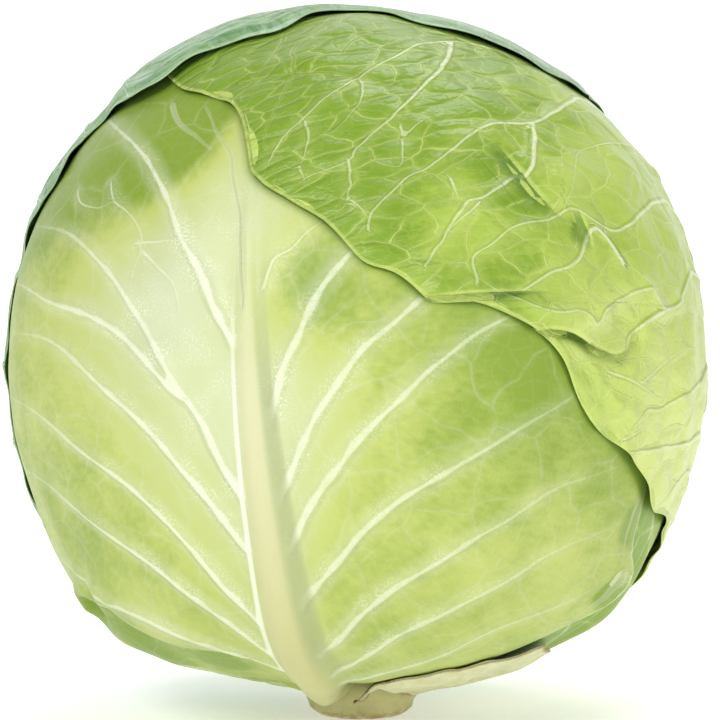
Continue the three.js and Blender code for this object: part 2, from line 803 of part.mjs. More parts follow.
function piece(name, geometry, colour, roughness) {
  const material = new THREE.MeshStandardMaterial({ color: colour, roughness, metalness: 0 });
  const mesh = new THREE.Mesh(geometry, material);
  mesh.name = name;
  return mesh;
}

const cabbage = new THREE.Group();
cabbage.add(piece("stem", stemGeometry(), 0xe6e2bf, 0.6));
cabbage.add(piece("heart", heartGeometry(), 0xdde8ae, 0.5));
leaves.forEach((leaf, layer) => {
  cabbage.add(piece(leaf.name, leafGeometry(leaf, layer), leaf.colour, 0.45));
});

export default cabbage;
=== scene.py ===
"""A green cabbage head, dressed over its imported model.

Places on the head are directions from its centre: a longitude, from the front round to the right,
and a latitude. Each leaf is drawn flat on a leaf plane, in millimetres, whose x runs to the leaf's
right and y from the stem to the crown. Meshes are made in metres, at the end of each piece.
"""
import math

import bpy
import numpy as np
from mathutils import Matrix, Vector


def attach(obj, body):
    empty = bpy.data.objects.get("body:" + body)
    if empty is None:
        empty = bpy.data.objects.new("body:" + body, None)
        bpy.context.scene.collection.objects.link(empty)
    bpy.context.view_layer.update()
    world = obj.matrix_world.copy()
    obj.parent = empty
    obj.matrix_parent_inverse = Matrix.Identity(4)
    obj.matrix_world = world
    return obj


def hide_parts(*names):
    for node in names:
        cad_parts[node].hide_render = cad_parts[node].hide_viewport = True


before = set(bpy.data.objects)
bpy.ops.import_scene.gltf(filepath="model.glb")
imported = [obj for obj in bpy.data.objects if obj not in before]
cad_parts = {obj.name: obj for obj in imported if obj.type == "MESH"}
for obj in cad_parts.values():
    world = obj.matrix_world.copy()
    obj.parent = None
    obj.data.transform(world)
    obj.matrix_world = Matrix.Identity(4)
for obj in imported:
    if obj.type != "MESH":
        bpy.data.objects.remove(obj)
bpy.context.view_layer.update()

bl_info = {
    "name": "Green Cabbage",
    "version": (1, 0, 0),
    "blender": (4, 5, 0),
    "location": "3D View > Sidebar > Cabbage",
    "description": "Builds the leaves, heart and stem of a green cabbage head",
    "category": "Add Mesh",
}

# The head, in millimetres and degrees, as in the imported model
HEAD_RADIUS = 90
HEAD_CENTRE = np.array([0, 0, 91])
SHOULDER = {"latitude": -42, "spread": 16, "height": 2.2}
UNDERSIDE = {"latitude": -90, "spread": 22, "height": -3.2}
LUMPS = {"height": 0.9, "x": 3.3, "y": 2.9, "z": 2.2}
WRAP = {"side": 6.1, "crown": 0.5, "stem": 2}
CROWN_LATITUDES = (20, 65)
STEM_LATITUDES = (35, 76)
HEART_RELIEF = {"height": 0.9, "leaves": 3, "turn": 1.1, "pole": 0.3, "edge": 0.06}

# The leaves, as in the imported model
BLADE = 0.7
AIR = 0.8
BASE_LATITUDE = -78.5
BASE_HALF_ANGLE = 36
STEM_END = (-76, -50)
COVER_REACH = {"stem": (1, 6), "blade": (3, 22)}
RIB_CLEARANCE = {"stem": (1, 6), "blade": (3, 16)}
BARE_FROM = (5, 22)
MARGIN_CURL = {"height": 0.5, "spread": 9, "waves": 23, "swells": 9, "low": (6, 20)}
RIB_FORM = {"narrowing": 0.78, "fall": 1.3, "bend_shift": 0.7}
INNER_VEINS = {"offset": 3, "rise": (34, 84), "reach": (26, 46)}
COVERED_VEIN = 0.15
VEIN_SWAY = {"height": 0.9, "length": 9, "grown": (4, 20)}

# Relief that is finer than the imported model's, in millimetres
TUCK = {"height": 0.5, "spread": 4}
RIPPLE = {"height": 0.45, "spread": 3, "length": 13, "seed": 31}
THIN_MARGIN = {"share": 0.5, "width": 5}
PLEAT = {"reach": 8, "rounding": 0.3, "lip": 0.9}
PLEAT_HOLLOW = {"depth": 0.7, "place": 2, "spread": 2.5}
RIB_SECTION = {"slimming": 0.5, "half_width": 0.8, "steepness": 2.6, "calm": 0.95}
RIB_GROOVE = {"depth": 0.16, "place": 1.35, "spread": 0.4}
VEIN_SWELL = {"height": 0.25, "spread": 5, "reach": 70}
BLISTER = {"length": 17, "seed": 19, "grown": (1, 8)}
BROAD_SWELL = {"height": 0.4, "length": 40, "seed": 3, "grown": (2, 16)}
DEEPEST = 0.4

# A vein from the midrib: each triple is the value far out, what it has more of at its start, and
# the way over which that falls
MAIN_VEIN = {
    "half_width": (0.34, 0.5, 40), "strength": (0.55, 0.45, 60), "height": (0.3, 0.7, 60),
    "starts": (-2, 1), "spread": 1.5,
}

# Veins along traced lines, with their heights as shares of a main vein's
TRACED = {
    "side": {"lines": "side_veins", "half_width": 0.58, "height": 0.45},
    "small": {"lines": "small_veins", "half_width": 0.32, "height": 0.25},
    "furrow": {"lines": "furrows", "half_width": 0.3, "height": -0.35},
}
TRACED_VEIN = {"reach": 8, "thinning": 0.25, "spread": 1.2}
TRACED_HOLLOW = {"depth": 0.3, "place": 3, "spread": 1.6}

# Amounts, lengths and seeds of the noise that unsettles the veins
WANDER = {"main": (0.3, 17, 7), "width": (0.3, 7, 41), "traced": (0.16, 9, 17)}

# Folds beside a margin, and how they wander: amounts, lengths and turns
FOLD = {
    "height": 1.2, "length": 6.5, "sharpness": 0.6, "mean": 0.6, "grown": (0.5, 3), "spread": 15,
}
FOLD_WANDER = ((2.2, 17, 0), (1.3, 7.3, 2))
BLOOM_SPREAD = 75

# Marks for the colours. NO_VEIN is for places that have no vein by them: the distance in
# half-widths and in millimetres, and the strength. NEVER is further out than any vein runs.
NO_VEIN = (9.0, 9.0, 0.0)
FAINT = 0.02
FAR = 99.0
NEVER = (900, 901)
RIB_FADE = (28, 74)
INNER_PALE = 0.7
PALE_SPREAD = {"height": 48, "even": 1.05, "lean": 0.35, "lean_reach": 12, "steepness": 1.5}
PALE_HEIGHT = {"least": 0.25, "drop": 8}
COVER_SHADE = 2.6

# Fineness of the meshes. The inner rings are shares of the way out from a leaf's middle, and
# those past the first of PLEATED_RINGS follow its pleats.
BARE_LEAF_CELLS = 272
COVERED_LEAF_CELLS = 130
STUB_CELLS = 110
HEART_ROWS, HEART_COLUMNS = 150, 300
STEM_COLUMNS = 160
MARGIN_STEP = 2.5
COVER_STEP = 8
BASE_POINTS = 25
TRACE_STEPS = 6
PLEATED_RINGS = (0.97, 1)
RIM_OUT = 1.0016
INNER_RINGS = (0.995, 0.985, 0.97, 0.95, 0.92, 0.88, 0.83, 0.76, 0.66, 0.54, 0.4, 0.25, 0.1)

# The stem's profile and the core's socket in the heart, as radii and heights
STEM_PROFILE = (
    (0.6, 0.5), (3, 0.45), (5, 0.4), (6.6, 0.3), (7.6, 0.1), (8.4, 0), (9.5, 0), (10.8, 0.3),
    (12, 1), (13.2, 2.1), (14, 3.4), (14.6, 4.6), (15.6, 6), (16, 8.5), (15.9, 11), (15.4, 14),
    (14.65, 17), (11.5, 26), (9, 38), (6.5, 52), (3.4, 64),
)
STEM_ENDS = (0.5, 68)
STEM_SCARS = {"depth": 0.03, "count": 5, "twist": 0.4, "above": 3}
CUT_FACE = {"radius": 8, "below": 1, "roughness": 0.18, "length": 5, "seed": 8}
CORE_SOCKET = ((16.6, 17.3), (11.9, 26.4), (9.4, 38.4), (6.9, 52.4), (3.8, 64.4))
SOCKET_END = 68.35


def vein(side, start, rise, reach, origin=0):
    """A side vein that leaves the midrib at start, climbs by rise and levels off within reach."""
    return {"side": side, "start": start, "rise": rise, "reach": reach, "origin": origin}


def vein_pairs(count, first, last):
    """Pairs of veins whose starts are spread evenly up the midrib."""
    pairs = []
    for share in np.linspace(0, 1, count):
        start = first + (last - first) * share
        rise, reach = (np.interp(share, (0, 1), INNER_VEINS[key]) for key in ("rise", "reach"))
        pairs.append(vein(-1, start + INNER_VEINS["offset"], rise, reach))
        pairs.append(vein(1, start - INNER_VEINS["offset"], rise, reach))
    return pairs


def even_margin(longitude):
    """The margin of an inner leaf, much the same on both sides of its midrib."""
    half = [
        (52, -70), (70, -58), (84, -42), (92, -22), (94, 0), (92, 24), (84, 46), (64, 64), (28, 74),
    ]
    right = [(longitude + turn, latitude) for turn, latitude in half]
    left = [(longitude - turn, latitude) for turn, latitude in reversed(half)]
    return right + left


INNER_RIB = {"bend": 0, "half_width": 6, "height": 2.4, "end": 25}

# The leaves, from the innermost out. A margin runs from the right of the leaf's base, over its tip,
# to the left of its base, as longitudes and latitudes.
LEAVES = [
    {
        "name": "inner_leaf_left",
        "longitude": -72,
        "cells": COVERED_LEAF_CELLS,
        "margin": even_margin(-72),
        "rib": INNER_RIB,
        "veins": vein_pairs(4, -84, -14),
    },
    {
        "name": "inner_leaf_right",
        "longitude": 70,
        "patches": [(66, -42, 26, -2.4)],
        "swells": [{"line": [(74, -34), (78, -42), (72, -50)], "height": 2.4, "spread": 14}],
        "cells": COVERED_LEAF_CELLS,
        "margin": even_margin(70),
        "rib": INNER_RIB,
        "veins": vein_pairs(5, -88, -10),
    },
    {
        "name": "inner_leaf_rear",
        "longitude": -125,
        "cells": COVERED_LEAF_CELLS,
        "margin": even_margin(-125),
        "rib": INNER_RIB,
        "veins": vein_pairs(4, -84, -14),
    },
    {
        "name": "front_leaf",
        "longitude": -19,
        "base_longitude": -26,
        "bright": (1, 0.75),
        "drawn_out": (24, 100),
        # Some small dark patches are painted shade: those at (54, -26) and (57, -38) beside the curled
        # tongues of the right margin, and the one at (-70, -42) in the hollow under the lower-left
        # curl.
        "patches": [
            (-52, 42, 24, -1.5), (-78, 32, 26, -0.6), (-35, 30, 14, -0.3), (0, 22, 22, -0.25),
            (26, 2, 26, -0.35), (48, -14, 22, -0.15), (30, -35, 26, 0.12), (-10, 10, 14, -0.75),
            (-52, -24, 24, -0.12), (-30, 10, 16, 0.35), (54, -26, 4, -1.1), (57, -38, 4, -0.8),
            (-60, -48, 9, -0.5), (-40, -54, 8, -0.5), (-70, -42, 4, -1.5), (-45, -42, 12, 0.25),
            (-36, 36, 12, -0.8),
        ],
        "margin": [
            (18, -70), (27, -62), (36, -56), (46, -49), (54, -44), (59, -40), (60, -34), (57, -30),
            (56, -25), (55, -19), (57, -6), (59, 10), (58, 28), (50, 46), (28, 62), (0, 71),
            (-25, 75), (-50, 71), (-74, 62), (-88, 50), (-97, 36), (-100, 20), (-98, 5),
            (-100, -10), (-96, -25), (-88, -36), (-77, -45), (-64, -54), (-56, -63), (-58, -71),
        ],
        "rib": {"bend": 8, "half_width": 7.5, "height": 5.4, "end": 62},
        "veins": [
            vein(-1, 5, 90, 45),
            vein(-1, -29, 75, 32),
            vein(-1, -7, 32, 35, 12),
            vein(-1, -43, 55, 30),
            vein(-1, -63, 55, 30),
            vein(-1, -75, 46, 30),
            vein(-1, -88, 30, 22),
            vein(1, -12, 60, 18),
            vein(1, -30, 70, 30),
            vein(1, -42, 75, 42),
            vein(1, -57, 65, 52),
            vein(1, -75, 52, 42),
            vein(1, -88, 42, 35),
            vein(1, -98, 30, 35),
        ],
        "curls": [
            {"longitude": -74, "latitude": -47, "height": 1.8, "spread": 16},
            {"longitude": -97, "latitude": 5, "height": 2.2, "spread": 9},
            {"longitude": 58, "latitude": -33, "height": 2.2, "spread": 13},
        ],
        "small_veins": [
            [(-48, 28), (-45, 25), (-41, 23), (-38, 21), (-36, 18), (-37, 13)],
            [(-58, 27), (-55, 25), (-49, 24), (-45, 25)],
            [(-37, 18), (-33, 18), (-28, 18)],
            [(-36, 17), (-30, 13), (-28, 11), (-27, 8)],
            [(-14, 11), (-13, 15), (-10, 17), (-6, 21), (-3, 22)],
            [(55.5, -20), (56.5, -24), (57, -28), (57, -31)],
            [(58.5, -34), (58, -38), (55, -42), (51, -45), (47, -48)],
        ],
        "furrows": [
            [(-17, 9), (-18, 15), (-19, 22), (-21, 27), (-23, 32), (-28, 37), (-33, 42)],
            [(-43, 43), (-38, 39), (-32, 36), (-27, 33)],
            [(54, -20), (53, -23), (53, -27), (55, -31)],
            [(57, -34), (56.5, -37), (54, -41), (50, -44)],
        ],
        "pleats": [
            {
                "line": [
                    (-64, -36.5), (-60, -37.8), (-56.5, -38.5), (-54, -41), (-49, -43.3),
                    (-43, -45), (-36, -47), (-29, -50), (-22, -52),
                ],
                "overhang": 2.6, "raise": 2.4, "ends": (0.1, 0.5), "shade": 0.9,
            },
        ],
        "swells": [
            {"line": [(-71, -41), (-70, -42)], "height": -2.4, "spread": 3.6},
            {"line": [(-66, -37), (-72, -38), (-75, -41)], "height": 1.6, "spread": 3},
            {"line": [(53, -22), (52.5, -26), (54, -30)], "height": -1.2, "spread": 1.8},
            {"line": [(56, -22), (56.5, -26), (57, -30)], "height": 1.4, "spread": 1.6},
            {"line": [(58.5, -34), (58, -38), (55, -42), (51, -45)], "height": 1.3, "spread": 1.5},
            {"line": [(56, -34), (55, -37), (52, -41)], "height": -0.9, "spread": 1.6},
        ],
    },
    {
        "name": "right_leaf",
        "longitude": 118,
        "pale": (20, 60, -20, 70),
        "puff": 1.8,
        # The dark patch at (20, 8) is painted shade under the lip of the first pleat.
        "patches": [
            (-20, 42, 30, -1.2), (10, 50, 34, -0.35), (-2, 25, 16, -0.35), (38, 9, 12, 0.5),
            (50, -8, 26, 0.65), (33, 4, 6, 0.5), (25, 27, 7, -0.5), (24, 16, 8, -0.1),
            (36, 27, 8, 0.45), (44, 18, 9, -0.3), (41, 8, 6, 0.4), (64, -24, 30, 0.75),
            (66, 8, 34, 0.45), (50, 28, 18, 0.35), (30, 23, 12, -0.15), (20, 8, 5, -0.6),
            (70, 40, 24, 0.1), (14, 22, 12, 0.35), (30, 15, 8, 0.2), (-7, 34, 10, -0.5),
        ],
        "margin": [
            (160, -70), (172, -60), (188, -45), (198, -22), (203, 0), (205, 20), (202, 40),
            (200, 58), (210, 68), (250, 68), (280, 60), (300, 52), (318, 46), (336, 40), (341, 31),
            (344, 27), (349, 24), (354, 21), (360, 15), (365, 13), (370, 9), (376, 9), (382, 7),
            (387, 4), (390, 1), (393, -4), (397, -9), (404, -13), (411, -18), (417, -23),
            (426, -25), (436, -30), (446, -38), (449, -52), (447, -66),
        ],
        "rib": {"bend": -5, "half_width": 7, "height": 4.2, "end": 70},
        "veins": [
            vein(-1, 38, 90, 48),
            vein(-1, 22, 88, 48),
            vein(-1, 3, 82, 46),
            vein(-1, -15, 81, 44),
            vein(-1, -32, 78, 42),
            vein(-1, -52, 67, 38),
            vein(-1, -70, 60, 34),
            vein(-1, -84, 54, 30),
            vein(1, 30, 70, 44),
            vein(1, 6, 74, 42),
            vein(1, -18, 72, 38),
            vein(1, -40, 66, 36),
            vein(1, -60, 56, 32),
            vein(1, -78, 44, 28),
            vein(1, -92, 32, 24),
        ],
        "curls": [
            {"longitude": 50, "latitude": -17, "height": 1.6, "spread": 14},
            {"longitude": 88, "latitude": -40, "height": 0.8, "spread": 15},
        ],
        "drawn_out": (40, 52),
        "side_veins": [
            [
                (76, 53), (57, 55), (44, 58), (29, 60), (16, 56), (4, 50), (-5, 43), (-13, 35),
                (-15, 30),
            ],
            [(29, 60), (17, 48), (12, 44), (7, 39), (0, 33), (-2, 30), (-7, 28), (-9, 27)],
            [
                (82, 43), (70, 46), (59, 46), (45, 42), (33, 38), (24, 37), (17, 33), (11, 29),
                (7, 27), (2, 22), (1, 19),
            ],
            [(34, 38), (32, 34), (28, 28), (26, 28), (19, 24), (16, 23), (12, 18), (9, 14)],
            [
                (88, 20), (77, 25), (66, 26), (56, 24), (45, 20), (40, 21), (35, 23), (30, 21),
                (24, 20), (19, 17), (16, 15), (16, 12),
            ],
            [(44, 15), (39, 20), (34, 15), (28, 13), (23, 11), (18, 10)],
            [
                (85, 10), (80, 13), (69, 14), (59, 9), (53, 8), (50, 10), (49, 11), (44, 10), (38, 8),
                (36, 6), (33, 8), (27, 8), (21, 10),
            ],
            [(53, 8), (48, 6), (44, 4), (42, 1)],
            [(85, -4), (79, -1), (71, -3), (60, -5), (53, -7), (48, -7), (45, -9)],
            [(84, -17), (79, -14), (73, -12), (65, -13), (54, -13), (43, -13)],
            [(82, -25), (77, -22), (72, -18), (64, -19), (59, -22)],
        ],
        "small_veins": [
            [(0, 46), (0, 41), (-3, 37), (-5, 35)],
            [(-10, 37), (-9, 34), (-10, 29), (-12, 29)],
            [(-10, 29), (-9, 27)],
            [(-2, 30), (-2, 24), (-3, 22), (-5, 22)],
            [(-2, 24), (0, 22), (2, 21)],
            [(7, 36), (7, 33), (6, 29), (2, 30)],
            [(7, 34), (11, 37), (14, 38)],
            [(18, 23), (14, 20), (12, 18)],
            [(14, 27), (15, 24)],
            [(81, 33), (74, 35), (61, 36), (50, 35), (42, 33), (38, 29), (35, 25), (33, 22)],
            [(51, 10), (48, 13), (44, 15)],
            [(39, -1), (45, -3), (53, -6)],
            [(45, -3), (56, 1), (63, 3)],
            [(43, -11), (49, -9)],
        ],
        "furrows": [
            [(-27, 63), (-23, 52), (-25, 45), (-24, 42)],
            [(-13, 69), (-15, 61), (-18, 55), (-15, 48), (-16, 42), (-17, 35), (-16, 32)],
            [(4, 60), (-1, 58), (-4, 55), (-6, 51), (-11, 49)],
            [(-27, 47), (-15, 48), (-6, 48), (3, 46), (10, 44)],
        ],
        "pleats": [
            {
                "line": [
                    (3, 9), (7, 9.5), (10.8, 10.3), (15.5, 10.8), (20.7, 10.9), (25, 10.8),
                    (31, 10.4),
                ],
                "overhang": 2.8, "raise": 2.6, "ends": (0.35, 0.6), "shade": 1,
            },
            {
                "line": [
                    (15, 3.6), (19, 4.4), (23, 5.2), (27, 6), (31, 5.6), (35, 4), (38, 2.6),
                    (40.5, 2), (43, 2.4), (47, 4.4),
                ],
                "overhang": 2.8, "raise": 2.8, "ends": (0.4, 0.45), "shade": 1,
            },
            {
                "line": [(24.5, 34), (26, 31), (27.5, 28.5), (30, 25), (33.5, 21.5)],
                "overhang": 0.3, "raise": 1.1, "ends": (0.3, 0.35), "shade": 1,
            },
            {
                "line": [(36, 24), (37, 20), (38, 16)],
                "overhang": 0.2, "raise": 0.8, "ends": (0.4, 0.4), "shade": 0.8,
            },
        ],
        "swells": [
            {
                "line": [(-27, 47), (-15, 48), (-6, 48), (3, 46), (10, 44)],
                "height": -0.5, "spread": 2.2,
            },
            {"line": [(25, 33), (26, 31), (27, 29)], "height": -1.3, "spread": 1.5},
            {"line": [(28, 28), (30, 25), (33, 22)], "height": -1.5, "spread": 1.6},
            {"line": [(33, 0), (38, -5), (41, -10)], "height": -1, "spread": 2.4},
            {"line": [(42, 1), (46, 4)], "height": -1.2, "spread": 2},
            {"line": [(36, 27), (40, 29)], "height": 1.3, "spread": 6},
            {"line": [(48, 28), (52, 30)], "height": 1.2, "spread": 8},
            {
                "line": [
                    (59, 9), (53, 8), (50, 10), (49, 11), (44, 10), (38, 8), (34, 7), (27, 8),
                ],
                "height": 1.2, "spread": 3,
            },
            {"line": [(36, 4), (42, 6)], "height": -0.8, "spread": 4},
            {"line": [(41, -15), (46, -12)], "height": 0.9, "spread": 4},
            {"line": [(36, -3), (41, -6), (46, -8)], "height": 0.8, "spread": 3},
        ],
    },
    {
        "name": "rear_leaf",
        "longitude": -165,
        "fold_place": (-62, 50),
        "margin": [
            (-122, -70), (-106, -60), (-95, -48), (-90, -35), (-87, -15), (-90, 5), (-88, 18),
            (-78, 25), (-72, 31), (-75, 36), (-68, 42), (-50, 47), (-32, 61), (-20, 72), (10, 73),
            (24, 67), (40, 61), (54, 54), (70, 49), (86, 48), (102, 39), (118, 27), (130, 12),
            (136, -5), (138, -25), (142, -42), (147, -56), (150, -68),
        ],
        "rib": {"bend": 6, "half_width": 7, "height": 4.2, "end": 60},
        "veins": [
            vein(-1, 24, 84, 46),
            vein(-1, -4, 80, 42),
            vein(-1, -30, 70, 38),
            vein(-1, -54, 58, 32),
            vein(-1, -74, 46, 28),
            vein(-1, -92, 32, 24),
            vein(1, 34, 88, 48),
            vein(1, 12, 84, 44),
            vein(1, -12, 76, 40),
            vein(1, -34, 66, 36),
            vein(1, -56, 56, 32),
            vein(1, -74, 46, 28),
            vein(1, -90, 32, 24),
        ],
        "curls": [
            {"longitude": -50, "latitude": 47, "height": 0.8, "spread": 18},
            {"longitude": -90, "latitude": 5, "height": 0.3, "spread": 20},
            {"longitude": 137, "latitude": -22, "height": 1.8, "spread": 16},
        ],
    },
    {
        "name": "cut_leaf_base",
        "longitude": 35,
        "cells": STUB_CELLS,
        "strip": True,
        "curling": 0,
        "blade": 1,
        "margin": [
            (64, -71), (67, -64), (65, -57), (60, -53), (55, -52), (50, -50), (45, -53), (40, -54),
            (35, -54), (30, -57), (25, -57), (19, -60), (12, -61), (7, -64), (2, -64), (-3, -67),
        ],
        "base_half_angle": 30,
        "rib": {"bend": 0, "half_width": 6.5, "height": 2.2, "end": -80},
        "veins": [],
    },
]


def bell(distance):
    """A bell curve: e to the power of minus the distance squared."""
    return np.exp(-distance * distance)


def ease(value, low, high):
    """0 below low and 1 above high, with a smooth cubic step between them."""
    share = np.clip((value - low) / (high - low), 0, 1)
    return share * share * (3 - 2 * share)


def direction(longitude, latitude):
    """Unit directions from the head's centre to longitudes and latitudes."""
    turn = np.radians(np.asarray(longitude, float))
    climb = np.radians(np.asarray(latitude, float))
    flat = np.cos(climb)
    return np.stack([np.sin(turn) * flat, -np.cos(turn) * flat, np.sin(climb)], axis=-1)


def latitude_of(rays):
    """Latitudes of unit directions, in degrees."""
    return np.degrees(np.arcsin(np.clip(rays[..., 2], -1, 1)))


def head_radius(rays):
    """A ball with full shoulders, a flatter underside and a few soft lumps."""
    latitude = latitude_of(rays)
    shoulder = bell((latitude - SHOULDER["latitude"]) / SHOULDER["spread"])
    underside = bell((latitude - UNDERSIDE["latitude"]) / UNDERSIDE["spread"])
    across = np.sin(LUMPS["x"] * rays[..., 0] + 1) * np.cos(LUMPS["y"] * rays[..., 1] + 2)
    lump = LUMPS["height"] * across * np.cos(LUMPS["z"] * rays[..., 2])
    return HEAD_RADIUS + SHOULDER["height"] * shoulder + UNDERSIDE["height"] * underside + lump


def heart_radius(rays):
    """The head's radius less the room that the wrapper leaves take."""
    latitude = latitude_of(rays)
    crown = WRAP["crown"] * ease(latitude, *CROWN_LATITUDES)
    stem = WRAP["stem"] * ease(-latitude, *STEM_LATITUDES)
    return head_radius(rays) - WRAP["side"] - crown - stem


def waves(places, scale, seed, count=9):
    """Soft noise from -1 to 1: the mean of plane waves in seeded directions, scale apart."""
    draw = np.random.default_rng(seed)
    headings = draw.normal(size=(count, places.shape[-1]))
    headings /= np.linalg.norm(headings, axis=1, keepdims=True)
    lengths = scale * draw.uniform(0.7, 1.5, count)
    phases = draw.uniform(0, 2 * math.pi, count)
    turns = 2 * math.pi * (places @ headings.T) / lengths + phases
    return np.sin(turns).mean(axis=-1) * 2


class LeafPlane:
    """A flat drawing of the head's surface about the middle of one leaf, true from that middle."""

    def __init__(self, longitude):
        self.middle = direction(longitude, 0)
        self.up = np.array([0.0, 0.0, 1.0])
        self.right = np.cross(self.up, self.middle)

    def rays(self, points):
        """Unit directions of points on the drawing."""
        distance = np.linalg.norm(points, axis=-1, keepdims=True)
        angle = distance / HEAD_RADIUS
        sideways = np.sin(angle) / np.maximum(distance, 1e-9)
        lean = points[..., :1] * self.right + points[..., 1:] * self.up
        return np.cos(angle) * self.middle + sideways * lean

    def find(self, rays):
        """Points on the drawing of unit directions."""
        across = rays @ self.right
        along = rays @ self.up
        sideways = np.hypot(across, along)
        distance = HEAD_RADIUS * np.arctan2(sideways, rays @ self.middle)
        scale = distance / np.maximum(sideways, 1e-9)
        return np.stack([across * scale, along * scale], axis=-1)

    @staticmethod
    def stretch(y):
        """How much wider than life a short step sideways is drawn, on the midrib at y."""
        angle = np.maximum(np.abs(y) / HEAD_RADIUS, 1e-6)
        return angle / np.sin(angle)


def smooth_curve(points, steps=24):
    """A uniform Catmull-Rom curve through points, with that many steps between each two."""
    held = np.vstack([points[:1], points, points[-1:]])
    count = len(points) - 1
    before, first, second, after = (held[i : count + i, None] for i in range(4))
    share = np.linspace(0, 1, steps, endpoint=False)[None, :, None]
    curve = 0.5 * (
        2 * first
        + (second - before) * share
        + (2 * before - 5 * first + 4 * second - after) * share**2
        + (3 * first - before - 3 * second + after) * share**3
    )
    return np.vstack([curve.reshape(-1, 2), points[-1:]])


def evenly(line, step, closed=True):
    """Points on a line, evenly spaced by about step."""
    line = np.vstack([line, line[:1]]) if closed else line
    lengths = np.linalg.norm(np.diff(line, axis=0), axis=1)
    walked = np.concatenate([[0], np.cumsum(lengths)])
    places = np.linspace(0, walked[-1], int(walked[-1] / step), endpoint=not closed)
    return np.stack([np.interp(places, walked, line[:, axis]) for axis in range(2)], axis=-1)


def along(line, share):
    """Points at shares of the way along an evenly spaced line."""
    shares = np.linspace(0, 1, len(line))
    return np.stack([np.interp(share, shares, line[:, axis]) for axis in range(2)], axis=-1)


def beside(points, curve, reach=30):
    """Where points lie beside a curve, for those within reach of it.

    Gives the distance from the curve, more than 0 on its left, the share of the curve's length at
    the nearest place, and the way to the left there. Distances out of reach are infinite.
    """
    low, high = curve.min(axis=0) - reach, curve.max(axis=0) + reach
    near = np.flatnonzero(np.all((points > low) & (points < high), axis=1))
    steps = np.diff(curve, axis=0)
    lengths = np.linalg.norm(steps, axis=1)
    walked = np.concatenate([[0], np.cumsum(lengths)])
    close = points[near]
    best = np.full(len(close), np.inf)
    side, part, left = np.ones(len(close)), np.zeros(len(close)), np.zeros_like(close)
    for corner, step, length, start in zip(curve, steps, lengths, walked):
        way = close - corner
        share = np.clip(way @ step / length**2, 0, 1)
        distance = np.linalg.norm(way - share[:, None] * step, axis=1)
        closer = distance < best
        turned = (step[0] * way[:, 1] - step[1] * way[:, 0]) / length
        best = np.where(closer, distance, best)
        side = np.where(closer, np.where(turned < 0, -1, 1), side)
        part = np.where(closer, (start + share * length) / walked[-1], part)
        left = np.where(closer[:, None], np.array([-step[1], step[0]]) / length, left)
    off = np.full(len(points), np.inf)
    shares, lefts = np.zeros(len(points)), np.zeros_like(points)
    off[near], shares[near], lefts[near] = best * side, part, left
    return off, shares, lefts


